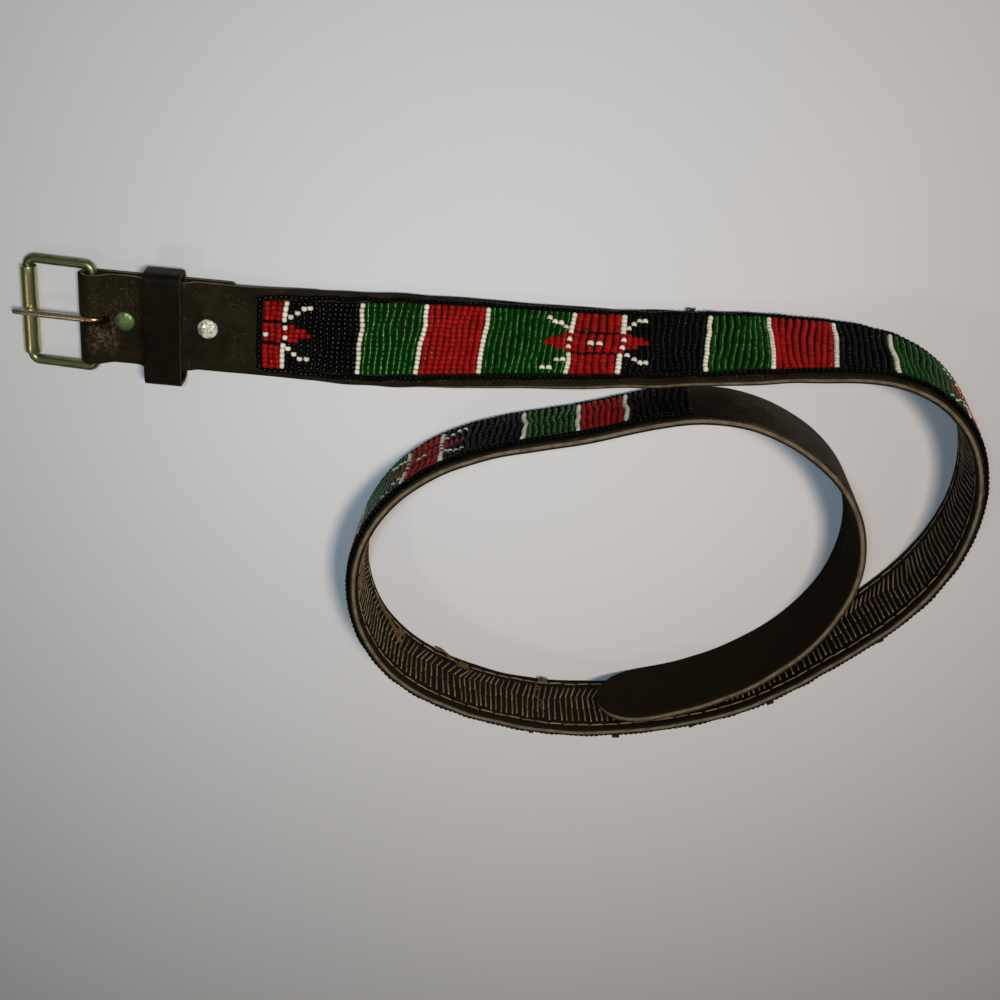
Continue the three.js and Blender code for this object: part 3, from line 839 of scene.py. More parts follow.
@dataclass(frozen=True)
class Thread:
    """Waxed sewing thread, a little different from stitch to stitch."""

    name: str
    light: Colour
    dark: Colour

    def material(self) -> bpy.types.Material:
        """The finish: dirt in clouds and fine twisted plies."""
        g = Graph(self.name)
        place = g.object_place()
        dirt = g.noise(place, 0.005, 3, 0.6)
        fibre = g.noise(place, 0.0004, 2, 0.6)
        mix = (dirt * 0.6 + g.number("tint") * 0.4).ramp(0.25, 0.75)
        return g.finish(
            Base_Color=g.blend(mix, self.dark, self.light),
            Roughness=0.75,
            Specular_IOR_Level=0.3,
            Normal=g.bump(fibre, 0.00012),
        )


@dataclass(frozen=True)
class Paper:
    """The plain pale table top."""

    name: str = "table_paper"
    tone: Colour = (0.62, 0.62, 0.62)
    shade: Colour = (0.59, 0.595, 0.60)

    def material(self) -> bpy.types.Material:
        """The finish: faint clouds and a soft tooth."""
        g = Graph(self.name)
        place = g.object_place()
        clouds = g.noise(place, 0.25, 3, 0.5)
        tooth = g.noise(place, 0.0012, 3, 0.6)
        return g.finish(
            Base_Color=g.blend(clouds, self.shade, self.tone),
            Roughness=0.8,
            Specular_IOR_Level=0.2,
            Normal=g.bump(tooth, 0.00008),
        )


# The leather strap


def flat_section(
    half_width: Array, thickness: float, corner: float, face_steps: int
) -> tuple[Array, Array, Array]:
    """Section points of a strap with rounded arrises, for many half widths at once.

    The ring goes down the near edge, across the lower face, up the far edge and back across the
    beaded face. Arrises are quarter circles.

    Args:
        half_width: Half the width of each section.
        thickness: The strap's thickness.
        corner: The radius of the arrises.
        face_steps: Strips across each face.

    Returns:
        Places across, places out, and cut, each as section by point; cut is 1 on the raw edges.
    """
    half = thickness / 2
    turn = np.linspace(0, math.pi / 2, 5)
    wall = np.linspace(half - corner, corner - half, 5)[1:-1]
    face = np.linspace(1, -1, face_steps + 1)[1:-1]
    arc_side, arc_out = np.cos(turn) * corner - corner, np.sin(turn) * corner
    arc_cut = np.cos(turn) ** 6 * 0.5
    low, high = corner - half - arc_out, half - corner + arc_out
    width = half_width[:, None]
    inner = width - corner
    upright, level = 0 * wall, 0 * face
    runs = (
        (width + upright, wall, upright + 1),
        (width + arc_side, low, arc_cut),
        (inner * face, level - half, level),
        (-(width + arc_side[::-1]), low[::-1], arc_cut[::-1]),
        (-(width + upright), wall[::-1], upright + 1),
        (-(width + arc_side), high, arc_cut),
        (inner * -face, level + half, level),
        (width + arc_side[::-1], high[::-1], arc_cut[::-1]),
    )
    across = np.hstack([run[0] for run in runs])
    out, cut = (np.tile(np.concatenate([run[i] for run in runs]), (len(half_width), 1)) for i in (1, 2))
    return across, out, cut


@dataclass
class Strap:
    """The leather strap: flap, fold, main run and rounded tongue, with its holes and slits."""

    sizes: BeltSizes
    path: BeltPath
    arris: float = 0.5 * MM
    face_steps: int = 12
    station_step: float = 2.2 * MM
    edge_wander: float = 0.16 * MM
    slit_count: int = 7
    slit_spacing: float = 25.5 * MM
    slit_to_tip: float = 65 * MM
    slit_length: float = 4 * MM
    slit_width: float = 1.5 * MM
    post_diameter: float = 3 * MM
    back_cap: float = 0.8 * MM
    prong_wire: float = 2.9 * MM
    slot_margin: float = 2 * MM
    tool_sides: int = 24
    nearly_round: float = 1.0001
    through: float = 8.0
    tip_share: float = 0.9995
    points_at_once: int = 2000
    cut_margin: float = 0.04 * MM

    def half_width(self, distance: Array) -> Array:
        """Half the width: rounded at the tip as an ellipse, and at the flap's corners."""
        s = self.sizes
        into_tip = np.clip((distance - (s.strap_length - s.tip_length)) / s.tip_length, 0, 1)
        half = s.strap_width / 2 * np.sqrt(1 - into_tip**2)
        flap_end = -math.pi * s.fold_radius - s.flap_length
        into_corner = np.clip(1 - (distance - flap_end) / s.flap_corner, 0, 1)
        half = half - s.flap_corner * (1 - np.sqrt(1 - into_corner**2))
        free = ease(70 * MM, 110 * MM, distance) * (1 - into_tip)
        return half + free * self.edge_wander * sway(5, 7, 24 * MM, distance)

    def all_stations(self) -> Stations:
        """Frames from the flap's end, round the bar and along to the tip."""
        s = self.sizes
        count = round((s.strap_length - s.tip_length) / self.station_step)
        run = np.linspace(0, s.strap_length - s.tip_length, count, endpoint=False)
        turn = np.linspace(0, 1, 22) * math.pi / 2
        tip = s.strap_length - s.tip_length + s.tip_length * np.sin(turn) * self.tip_share
        return self.path.flap_stations(30, 26).joined(self.path.stations(np.concatenate([run, tip])))

    def skin(self, stations: Stations) -> Surface:
        """The closed skin on those stations, with its lay and cut values."""
        half = np.maximum(self.half_width(stations.distance), 2 * self.arris)
        across, out, cut = flat_section(half, self.sizes.strap_thickness, self.arris, self.face_steps)
        lay = np.stack([np.broadcast_to(stations.distance[:, None], across.shape), across, out], axis=-1)
        raised = out + self.path.relief(stations.distance[:, None], across)
        return ring_surface(stations.place(across, raised), values={"lay": lay, "cut": cut})

    def slot_tool(self, length: float, width: float, height: float, frame_at: Stations) -> Surface:
        """A prism with round ends along a station, to cut with."""
        radius = width / 2
        turn = np.linspace(-math.pi / 2, 1.5 * math.pi, self.tool_sides, endpoint=False)
        reach = (length / 2 - radius) * np.sign(np.cos(turn + 1e-6))
        x, y = reach + radius * np.cos(turn), radius * np.sin(turn)
        levels = np.array([[[height / 2], [-height / 2]]])
        return ring_surface(frame_at.place(y[None, None], levels, x[None, None])[0])

    def upright(self, x: float, z: float) -> Stations:
        """An upright frame over the flat end, at a distance from the bar and a height."""
        place = np.array([[self.path.bar_x + x, self.path.bar_y, z]])
        axes = ((1.0, 0.0, 0.0), (0.0, 0.0, 1.0), (0.0, -1.0, 0.0))
        return Stations(np.zeros(1), place, *(np.array([axis]) for axis in axes))

    def tools(self) -> list[Surface]:
        """What is cut from the strap: the prong's slot, the rivets' holes and recesses, and the slits."""
        s = self.sizes
        start = -(s.fold_radius + s.strap_thickness)
        end = s.frame_wire / 2 + s.clearance + self.prong_wire + self.slot_margin
        width = self.prong_wire + 2 * s.clearance
        deep = self.through * s.strap_thickness
        made = [self.slot_tool(end - start, width, deep, self.upright((start + end) / 2, s.bar_height))]
        bores = (
            (self.post_diameter, deep, s.strap_thickness),
            (s.cap_diameter, 2 * (self.back_cap + s.clearance), 0),
        )
        for at in (s.rivet_to_bar, s.second_rivet):
            for bore, height, z in bores:
                hole = bore + 2 * s.clearance
                made.append(self.slot_tool(hole * self.nearly_round, hole, height, self.upright(at, z)))
        for number in range(self.slit_count):
            at = s.strap_length - self.slit_to_tip - number * self.slit_spacing
            here = self.path.stations([at])
            made.append(self.slot_tool(self.slit_length, self.slit_width, 2 * s.strap_thickness, here))
        return made

    def pierced(self, skin: Surface, stations: Stations) -> bpy.types.Mesh:
        """The skin with its holes cut by an exact Boolean, and the lay worked out again on it."""
        body = bpy.data.objects.new("strap_body", skin.mesh("strap_body"))
        cutter = bpy.data.objects.new("strap_cutter", join_surfaces(self.tools()).mesh("strap_cutter"))
        for made in (body, cutter):
            bpy.context.scene.collection.objects.link(made)
        cut = body.modifiers.new("holes", "BOOLEAN")
        cut.object, cut.operation, cut.solver = cutter, "DIFFERENCE", "EXACT"
        depsgraph = bpy.context.evaluated_depsgraph_get()
        mesh = bpy.data.meshes.new_from_object(body.evaluated_get(depsgraph))
        for made in (body, cutter):
            bpy.data.objects.remove(made)
        self.lay_again(mesh, stations)
        return mesh

    def lay_again(self, mesh: bpy.types.Mesh, stations: Stations) -> None:
        """Writes lay and cut on the pierced mesh from each vertex's nearest station.

        A vertex's place is its offset from that station, read along the station's axes. A vertex
        further from both faces than the arris counts as cut.
        """
        points = np.empty(len(mesh.vertices) * 3, np.float32)
        mesh.vertices.foreach_get("co", points)
        points = points.reshape(-1, 3).astype(float)
        nearest = np.concatenate([
            np.argmin(((part[:, None] - stations.middle[None]) ** 2).sum(axis=2), axis=1)
            for part in np.array_split(points, max(len(points) // self.points_at_once, 1))
        ])
        offset = points - stations.middle[nearest]
        axes = (stations.along, stations.across, stations.out)
        ahead, across, out = ((offset * axis[nearest]).sum(axis=1) for axis in axes)
        distance = stations.distance[nearest] + ahead
        through = out - self.path.relief(distance, across)
        lay = np.stack([distance, across, through], axis=1)
        inner = self.sizes.strap_thickness / 2 - self.arris
        cut = (np.abs(through) < inner + self.cut_margin).astype(float)
        for name, value in (("lay", lay), ("cut", cut)):
            old = mesh.attributes.get(name)
            if old is not None:
                mesh.attributes.remove(old)
            write_attribute(mesh, name, value)

    def build(self) -> None:
        """Makes the strap and dresses it."""
        stations = self.all_stations()
        mesh = self.pierced(self.skin(stations), stations)
        mesh.set_sharp_from_angle(angle=math.radians(40))
        # The strap's leather has the rubbed patch by the slot and the painted sheen on its tongue.
        finish = Leather("strap_leather", fold_wear_and_tongue_sheen=True)
        finish_piece(mesh, "strap_leather", finish.material(), "belt", ["strap"])


@dataclass
class Keeper:
    """The leather loop that holds the tongue, between the rivets."""

    sizes: BeltSizes
    path: BeltPath
    side_gap: float = 3.2 * MM
    tongue_gap: float = 5 * MM
    corner: float = 3.4 * MM
    arris: float = 0.35 * MM
    edge_wander: float = 0.12 * MM

    def build(self) -> None:
        """Sweeps the band's section round its rounded outline, and dresses it."""
        s = self.sizes
        thickness = s.keeper_thickness
        low = s.keeper_base - thickness
        high = s.keeper_lift + s.strap_thickness + self.tongue_gap + thickness
        width = s.strap_width + 2 * (self.side_gap + thickness)
        corner = self.corner - thickness / 2
        outline = rounded_outline(width - thickness, high - low - thickness, corner, 10, 16)
        section = rounded_outline(s.keeper_length, thickness, self.arris, 4, 10)
        middle_x = self.path.bar_x + s.keeper_start + s.keeper_length / 2
        y = outline[:, None, 0] + section[None, :, 1] * outline[:, None, 2]
        z = outline[:, None, 1] + section[None, :, 1] * outline[:, None, 3]
        walk = np.concatenate([[0], np.cumsum(np.linalg.norm(np.diff(outline[:, :2], axis=0), axis=1))])
        edge = sway(11, 5, 20 * MM, walk)[:, None] * self.edge_wander * np.sign(section[None, :, 0])
        x = np.broadcast_to(section[None, :, 0], y.shape) + edge
        rings = np.stack([middle_x + x, self.path.bar_y - y, (low + high) / 2 + z], axis=-1)
        cut = np.broadcast_to(np.abs(section[None, :, 2]) ** 2, y.shape)
        lay = np.stack([
            np.broadcast_to(walk[:, None], y.shape), x, np.broadcast_to(section[None, :, 1], y.shape),
        ], axis=-1)
        band = ring_surface(rings, closed=True, values={"lay": lay, "cut": np.array(cut)})
        finish = Leather(
            "keeper_leather", dark=(0.0032, 0.0023, 0.0008), light=(0.0085, 0.0064, 0.0022),
            edge_light=(0.11, 0.070, 0.034), edge_dark=(0.045, 0.030, 0.015), core=0.75 * MM,
            wear=0.40, rough=0.42, gloss=0.05,
        )
        mesh = band.mesh("keeper_leather")
        finish_piece(mesh, "keeper_band", finish.material(), "belt", ["keeper"])


@dataclass
class Rivets:
    """The two domed rivets and the discs that close them at the back."""

    sizes: BeltSizes
    path: BeltPath
    post_diameter: float = 3 * MM
    rim: float = 0.5 * MM
    crown: float = 1.2 * MM
    back_thickness: float = 0.8 * MM
    around: int = 48
    pole: float = 0.02 * MM
    # The front rivet's green tint is partly the brass's own colour and partly a painted reflection of green
    # light.
    brass: Metal = Metal(
        "rivet_brass", (0.17, 0.24, 0.09), (0.075, 0.12, 0.04), rough=0.33, metallic=0.65,
    )
    # The rear rivet's strong pale and dark patches are partly patina and partly painted reflection, standing
    # in for the glints of a crinkled cap.
    nickel: Metal = Metal(
        "rivet_nickel", (1.0, 0.96, 0.80), (0.13, 0.115, 0.055), rough=0.20, metallic=0.40,
        patina=0.46, dents=0.0005, cloud_size=0.0026,
    )

    def turned(self, profile: Array, at: float, dents: float, seed: int) -> Surface:
        """A profile of radius and height turned about an upright axis, with shallow dents on top.

        Args:
            profile: Rows of radius and height, from the lower pole to the upper.
            at: The distance from the bar.
            dents: The depth of the dents.
            seed: Which dents.

        Returns:
            The closed surface.
        """
        turn = full_turn(self.around)
        radius, height = profile[:, None, 0], profile[:, None, 1]
        x, y = radius * np.sin(turn), radius * np.cos(turn)
        seat = self.sizes.layer_lift * 2
        dent = ripple(seed, 6, 3.2 * MM, 3.2 * MM, x, y) * dents * ease(seat, seat + self.rim * 2, height)
        z = np.broadcast_to(height, x.shape) + dent
        rings = np.stack([self.path.bar_x + at + x, self.path.bar_y + y, z], axis=-1)
        return ring_surface(rings)

    def cap_profile(self) -> Array:
        """The post, the flat under the cap, the rim and the dome, whose rise is a quarter sine."""
        s = self.sizes
        seat, radius, post = 2 * s.layer_lift, s.cap_diameter / 2, self.post_diameter / 2
        foot = self.back_thickness + s.clearance
        turn = np.linspace(0, math.pi / 2, 14)[1:]
        dome = np.stack([radius * np.cos(turn), seat + self.rim + self.crown * np.sin(turn)], axis=1)
        dome[-1, 0] = self.pole
        rim = [(radius - 0.15 * MM, seat), (radius, seat + 0.15 * MM), (radius, seat + self.rim)]
        return np.concatenate([[(self.pole, foot), (post, foot), (post, seat)], rim, dome])

    def build(self) -> None:
        """Makes the caps and the back discs, and dresses them."""
        s = self.sizes
        radius, thick = s.cap_diameter / 2, self.back_thickness
        back = np.array([
            (self.pole, 0), (radius - 0.25 * MM, 0), (radius, 0.2 * MM), (radius, thick - 0.1 * MM),
            (radius - 0.1 * MM, thick), (self.pole, thick),
        ])
        looks = (
            ("front", s.rivet_to_bar, 0.05 * MM, self.brass),
            ("rear", s.second_rivet, 0.14 * MM, self.nickel),
        )
        for side, at, dents, finish in looks:
            cap = self.turned(self.cap_profile(), at, dents, 21).mesh(f"rivet_{side}")
            cap.set_sharp_from_angle(angle=math.radians(50))
            material = finish.material()
            finish_piece(cap, f"rivet_{side}_cap", material, "belt", [f"rivet_cap_{side}"])
            disc = self.turned(back, at, 0, 22).mesh(f"rivet_{side}_disc")
            disc.set_sharp_from_angle(angle=math.radians(40))
            finish_piece(disc, f"rivet_{side}_disc", material, "belt", [f"rivet_back_{side}"])


@dataclass
class Buckle:
    """The wire frame, the roller on its outer bar and the prong."""

    sizes: BeltSizes
    path: BeltPath
    length: float = 27 * MM
    side_gap: float = 1.2 * MM
    corner: float = 3 * MM
    running: float = 0.3 * MM
    roller_wall: float = 1.1 * MM
    prong_wire: float = 2.9 * MM
    tip_wire: float = 2.3 * MM
    overhang: float = 2.6 * MM
    lip: float = 0.35 * MM
    seam_turn: float = 4.1
    seam_width: float = 0.07
    seam_depth: float = 0.3 * MM
    eye_steps: int = 36
    brass: Metal = Metal(
        "antique_brass", (0.26, 0.27, 0.12), (0.13, 0.145, 0.06), rough=0.33, dents=0.00003,
    )
    rubbed_brass: Metal = Metal(
        "rubbed_brass", (0.56, 0.52, 0.24), (0.26, 0.27, 0.10), rough=0.27, patina=0.38, dents=0.000004,
    )

    @property
    def roller_radius(self) -> float:
        """The roller's outer radius."""
        return self.sizes.frame_wire / 2 + self.running + self.roller_wall

    @property
    def side_wire(self) -> float:
        """How far the side wires are from the middle."""
        return self.sizes.strap_width / 2 + self.side_gap + self.sizes.frame_wire / 2

    @property
    def pitch(self) -> float:
        """The slope down from the hidden bar to the roller, in radians."""
        return math.asin((self.sizes.bar_height - self.roller_radius) / self.length)

    def in_plane(self, forward: Array, side: Array, normal: Array) -> Array:
        """Points in the buckle's plane: forward of the hidden bar, to the side, and off the plane."""
        c, s = math.cos(self.pitch), math.sin(self.pitch)
        x = self.path.bar_x - forward * c - normal * s
        z = self.sizes.bar_height - forward * s + normal * c
        return np.stack([x, self.path.bar_y + side, z], axis=-1)

    def wire(self) -> Surface:
        """One round wire along a rounded rectangle."""
        outline = rounded_outline(self.length, 2 * self.side_wire, self.corner, 12, 14)
        turn = full_turn(20)
        radius = self.sizes.frame_wire / 2
        out, up = radius * np.cos(turn), -radius * np.sin(turn)
        forward = self.length / 2 + outline[:, None, 0] + outline[:, None, 2] * out
        side = outline[:, None, 1] + outline[:, None, 3] * out
        return ring_surface(self.in_plane(forward, side, np.broadcast_to(up, side.shape)), closed=True)

    def roller(self) -> Surface:
        """A tube rolled from sheet: its profile turned about the outer bar, with a seam groove.

        The groove is a narrow bell taken off the radius at one turn.
        """
        bore, outer = self.sizes.frame_wire / 2 + self.running, self.roller_radius
        half, soft = self.side_wire - self.corner - self.sizes.clearance, self.lip
        turn = np.linspace(0, math.pi / 2, 5)
        lip = np.stack([half - soft + soft * np.sin(turn), outer - soft + soft * np.cos(turn)], axis=1)
        inner = np.array([(half, bore + 0.1 * MM), (half - 0.1 * MM, bore)])
        right = np.concatenate([lip, inner])
        run = np.linspace(-1, 1, 12)[1:-1] * (half - soft)
        profile = np.concatenate([
            np.stack([run, np.full(len(run), outer)], axis=1), right, (right * (-1, 1))[::-1],
        ])
        round_turn = full_turn(64)
        seam = np.exp(-(((round_turn - self.seam_turn) / self.seam_width) ** 2)) * self.seam_depth
        on_skin = (profile[:, 1] > outer - soft).astype(float)
        radius = profile[None, :, 1] - seam[:, None] * on_skin
        centre = self.in_plane(np.array(self.length), np.array(0.0), np.array(0.0))
        rings = np.stack([
            centre[0] + radius * np.cos(round_turn)[:, None],
            centre[1] + np.broadcast_to(profile[None, :, 0], radius.shape),
            centre[2] + radius * np.sin(round_turn)[:, None],
        ], axis=-1)
        return ring_surface(rings[::-1], closed=True)

    def prong(self) -> Surface:
        """A round wire: an eye of three quarters of a turn round the bar, then a tapered shank.

        The shank leaves the eye along its tangent and slopes down to lie on the roller. Its tip
        is a half round.
        """
        eye = self.sizes.frame_wire / 2 + self.running + self.prong_wire / 2
        roller_top = 2 * self.roller_radius + self.sizes.clearance + self.tip_wire / 2
        slope = math.atan((self.sizes.bar_height + eye - roller_top) / self.length)
        turn = -math.pi + (1.5 * math.pi + slope) * np.linspace(0, 1, self.eye_steps)
        length = self.length + self.roller_radius + self.overhang
        tip = self.tip_wire / 2
        round_end = length - tip + tip * np.sin(np.linspace(0, 1.5, 8)[1:])
        at = np.concatenate([np.linspace(0, length - tip, 26)[1:], round_end])
        x = np.concatenate([eye * np.cos(turn), -eye * math.sin(slope) - at * math.cos(slope)])
        z = np.concatenate([eye * np.sin(turn), eye * math.cos(slope) - at * math.sin(slope)])
        taper = self.prong_wire / 2 + (tip - self.prong_wire / 2) * ease(length / 2, length - tip, at)
        into_tip = np.clip((at - (length - tip)) / tip, 0, 1)
        eye_radius = np.full(self.eye_steps, self.prong_wire / 2)
        radius = np.concatenate([eye_radius, taper * np.sqrt(1 - into_tip**2)])
        y = np.full(len(x), self.path.bar_y)
        centre = np.stack([self.path.bar_x + x, y, self.sizes.bar_height + z], axis=1)
        tangent = unit(np.gradient(centre, axis=0))
        side = np.array([0.0, 1.0, 0.0])
        out = np.cross(side, tangent)
        round_turn = full_turn(18)
        ring = side * np.sin(round_turn)[None, :, None] + out[:, None] * np.cos(round_turn)[None, :, None]
        return ring_surface(centre[:, None] + ring * radius[:, None, None])

    def build(self) -> None:
        """Makes the three pieces and dresses them."""
        brass, rubbed = self.brass.material(), self.rubbed_brass.material()
        bar = self.path.bar_x
        bronze = Metal(
            "prong_bronze", (0.72, 0.56, 0.33), (0.36, 0.26, 0.13), rough=0.25, patina=0.42,
            warm_end=(0.50, 0.22, 0.07), cool_end=(0.34, 0.36, 0.28),
            warm_x=(bar - 6 * MM, bar + 1 * MM), cool_x=(bar - 27 * MM, bar - 31 * MM),
        )
        pieces = (
            ("buckle_wire", self.wire(), brass, "buckle", "buckle_frame", "antique_brass"),
            ("buckle_roller", self.roller(), rubbed, "roller", "roller", "antique_brass"),
            ("buckle_prong", self.prong(), bronze.material(), "prong", "prong", "prong_bronze"),
        )
        for name, surface, material, body, node, slot in pieces:
            mesh = surface.mesh(name)
            mesh.set_sharp_from_angle(angle=math.radians(55))
            finish_piece(mesh, name, material, body, [node])


# The beadwork


class Bead(Enum):
    """The bead colours."""

    RED = 0
    GREEN = 1
    BLACK = 2
    WHITE = 3


class Figure(Enum):
    """What a block of rows shows."""

    PLAIN = "plain"
    SHIELD = "shield"
    SPEAR = "spear"


@dataclass(frozen=True)
class Block:
    """A run of rows in one colour, the last one being the white divider."""

    colour: Bead
    figure: Figure
    rows: int


FIRST_BLOCKS = (
    Block(Bead.RED, Figure.SHIELD, 4), Block(Bead.BLACK, Figure.SPEAR, 13),
    Block(Bead.GREEN, Figure.PLAIN, 10), Block(Bead.RED, Figure.PLAIN, 10),
)
REPEAT_BLOCKS = (
    Block(Bead.GREEN, Figure.SPEAR, 14), Block(Bead.RED, Figure.SHIELD, 8),
    Block(Bead.BLACK, Figure.SPEAR, 14), Block(Bead.GREEN, Figure.PLAIN, 10),
    Block(Bead.RED, Figure.PLAIN, 10),
)
BLACK_BLOCK = Block(Bead.BLACK, Figure.PLAIN, 9)
LAST_BLOCKS = (
    Block(Bead.GREEN, Figure.SPEAR, 12), Block(Bead.RED, Figure.SHIELD, 7),
    Block(Bead.BLACK, Figure.SPEAR, 14), Block(Bead.GREEN, Figure.PLAIN, 9),
    Block(Bead.RED, Figure.PLAIN, 8), BLACK_BLOCK,
)
MIDDLE_BLOCKS = (*REPEAT_BLOCKS, BLACK_BLOCK, *REPEAT_BLOCKS)
BLOCKS = (*FIRST_BLOCKS, *MIDDLE_BLOCKS, *MIDDLE_BLOCKS, *LAST_BLOCKS, *MIDDLE_BLOCKS)


@dataclass
class BeadList:
    """Beads as columns: where each one is on the strap, its size, its tint and its lie."""

    distance: Array
    across: Array
    out: Array
    half_length: Array
    half_pitch: Array
    half_height: Array
    tint: Array
    skew: Array
    lengthwise: bool = False

    @classmethod
    def gather(cls, rows: Sequence[Sequence[float]], lengthwise: bool = False) -> "BeadList":
        """A list of beads from rows of numbers in the order of the columns."""
        return cls(*np.array(rows, float).T, lengthwise=lengthwise)


@dataclass
class Beadwork:
    """Cross rows of seed beads inside a border string, with the figures in them.

    The dots beside a spear are given row by row from the shield, as places in the row on the far
    side and on the near one, for a spear after a shield and for one before it.
    """

    sizes: BeltSizes
    path: BeltPath
    across_count: int = 15
    shield_thirds: tuple[int, ...] = (5, 5, 5)
    half_shield_thirds: tuple[int, ...] = (4, 4, 5)
    divider_share: float = 0.88
    black_gap: float = 0.55
    half_shield_rows: int = 5
    divider_whites: int = 6
    spear_rows: int = 4
    dots_after: tuple[tuple[int, ...], ...] = ((3, 2, 1, 1), (10, 11, 12, 12))
    dots_before: tuple[tuple[int, ...], ...] = ((3, 2, 2, 1), (11, 11, 13, 13))
    half_height: float = 1.15 * MM
    seat: float = 0.97
    bead_share: float = 0.99
    divider_bead_share: float = 0.97
    pitch_share: float = 0.985
    border_half: float = 1.08 * MM
    border_bead: float = 2.15 * MM
    border_place: float = 16.0 * MM
    border_bead_share: float = 0.97
    wander: float = 0.55 * MM
    wriggle: float = 0.22 * MM
    slant: float = 0.075
    tilt: float = 0.35
    around: int = 10
    mouth: float = 0.55
    # How far the crest, which carries the painted highlight and the coat, is turned from a bead's top.
    crest_turn: float = 0.35
    seed: int = 77

    def blocks(self) -> list[tuple[Block, float, float]]:
        """The blocks that fit before the bare tongue, with where each starts and ends."""
        s = self.sizes
        free = s.strap_length - s.bare_tongue - s.rows_start - s.clearance - s.border_width
        rows_left, first, fitting = int(free / s.row_pitch), 0, []
        for block in BLOCKS:
            rows = min(block.rows, rows_left)
            if rows < 1:
                break
            start = s.rows_start + first * s.row_pitch
            fitting.append((Block(block.colour, block.figure, rows), start, start + rows * s.row_pitch))
            first, rows_left = first + rows, rows_left - rows
        return fitting

    def row_colours(
        self, block: Block, row: int, rows: int, beside: tuple[bool, bool], final: bool
    ) -> list[tuple[Bead, float]]:
        """The beads of one row, from the far side to the near one, with their relative lengths.

        A shield is three red fields between thin black beads with white eyes in its middle. The
        dividers beside a shield alternate white and red in their middle. A spear narrows by one
        bead a row as it leaves the shield, between two lines of white dots that spread apart.

        Args:
            block: The block that the row is in.
            row: The row's number in it.
            rows: How many rows the block has as made.
            beside: Whether a shield comes before the block, and whether one comes after.
            final: Whether the block is the last one, which has no divider.

        Returns:
            Colours and relative lengths.
        """
        count, middle = self.across_count, self.across_count // 2
        last, shield = row == rows - 1, block.figure is Figure.SHIELD
        half_shield = shield and rows <= self.half_shield_rows
        if last and final:
            return [(block.colour, 1.0)] * count
        gap = (Bead.BLACK, self.black_gap)
        if last and half_shield:
            upper, _, lower = ([(Bead.WHITE, 1.0)] * number for number in self.half_shield_thirds)
            eye = [(Bead.WHITE, 1.0), (Bead.RED, 1.0), (Bead.WHITE, 1.0)]
            return [*upper, gap, *eye, gap, *lower]
        if last:
            line = [(Bead.WHITE, 1.0)] * count
            if shield or beside[1]:
                for place in (middle - 2, middle, middle + 2):
                    line[place] = (Bead.RED, 1.0)
            return line
        if shield:
            numbers = self.half_shield_thirds if half_shield else self.shield_thirds
            upper, inner, lower = ([(Bead.RED, 1.0)] * number for number in numbers)
            line = [*upper, gap, *inner, gap, *lower]
            eyes = (0,) if half_shield else ((rows - 1) // 2 - 1, (rows - 1) // 2)
            if row in eyes:
                line[len(line) // 2] = (Bead.WHITE, 1.0)
            return line
        line = [(block.colour, 1.0)] * count
        step = row if beside[0] else rows - 2 - row
        if block.figure is Figure.SPEAR and step < self.spear_rows:
            width = self.spear_rows - step
            start = middle - width // 2
            for place in range(start, start + width):
                line[place] = (Bead.RED, 1.0)
            for dots in self.dots_after if beside[0] else self.dots_before:
                line[dots[step]] = (Bead.WHITE, 1.0)
        return line

    def rows(self) -> list[tuple[float, float, list[tuple[Bead, float]]]]:
        """Every row, with its distance, its pitch and its beads.

        A divider takes a smaller share of its block's length than the other rows. A full shield
        is made with one row fewer, so its rows are a little wider.
        """
        fitting = self.blocks()
        made = []
        for number, (block, start, end) in enumerate(fitting):
            full = block.figure is Figure.SHIELD and block.rows > self.half_shield_rows
            rows = block.rows - 1 if full else block.rows
            before = number > 0 and fitting[number - 1][0].figure is Figure.SHIELD
            after = number + 1 < len(fitting) and fitting[number + 1][0].figure is Figure.SHIELD
            shares = np.array([1.0] * (rows - 1) + [self.divider_share])
            pitches = (end - start) * shares / shares.sum()
            centres = start + np.cumsum(pitches) - pitches / 2
            for row in range(rows):
                beads = self.row_colours(block, row, rows, (before, after), number == len(fitting) - 1)
                made.append((float(centres[row]), float(pitches[row]), beads))
        return made

    def cross_beads(self) -> dict[Bead, BeadList]:
        """The beads of the cross rows, by colour.

        Each row wanders along the strap by a smooth field over distance and place across, and
        each bead has a little of its own size, lie and tint.
        """
        rng = np.random.default_rng(self.seed)
        found: dict[Bead, list[list[float]]] = {colour: [] for colour in Bead}
        face = self.sizes.strap_thickness / 2
        for distance, pitch, beads in self.rows():
            lengths = np.array([share for _, share in beads]) * rng.uniform(0.9, 1.1, len(beads))
            lengths *= self.sizes.row_length / lengths.sum()
            across = np.cumsum(lengths) - lengths / 2 - self.sizes.row_length / 2
            divider = sum(colour is Bead.WHITE for colour, _ in beads) > self.divider_whites
            share = self.divider_bead_share if divider else self.bead_share
            at = distance + 0 * across
            shift = self.wander * ripple(3, 6, 38 * MM, 30 * MM, at, across)
            shift = shift + self.wriggle * ripple(4, 6, 24 * MM, 11 * MM, at, across)
            shift = shift - self.slant * ease(330 * MM, 270 * MM, at) * ease(60 * MM, 90 * MM, at) * across
            skew = np.gradient(shift, across)
            row_tint = rng.uniform(-0.12, 0.12)
            for i, (colour, _) in enumerate(beads):
                swell = rng.uniform(0.95, 1.04)
                height = self.half_height * swell
                found[colour].append([
                    distance + shift[i] + rng.normal(0, 0.05 * MM),
                    across[i],
                    face + height * self.seat,
                    lengths[i] / 2 * share,
                    pitch / 2 * self.pitch_share * swell,
                    height,
                    float(np.clip(0.5 + row_tint + rng.normal(0, 0.2), 0, 1)),
                    skew[i] + rng.normal(0, 0.03),
                ])
        return {colour: BeadList.gather(rows) for colour, rows in found.items()}

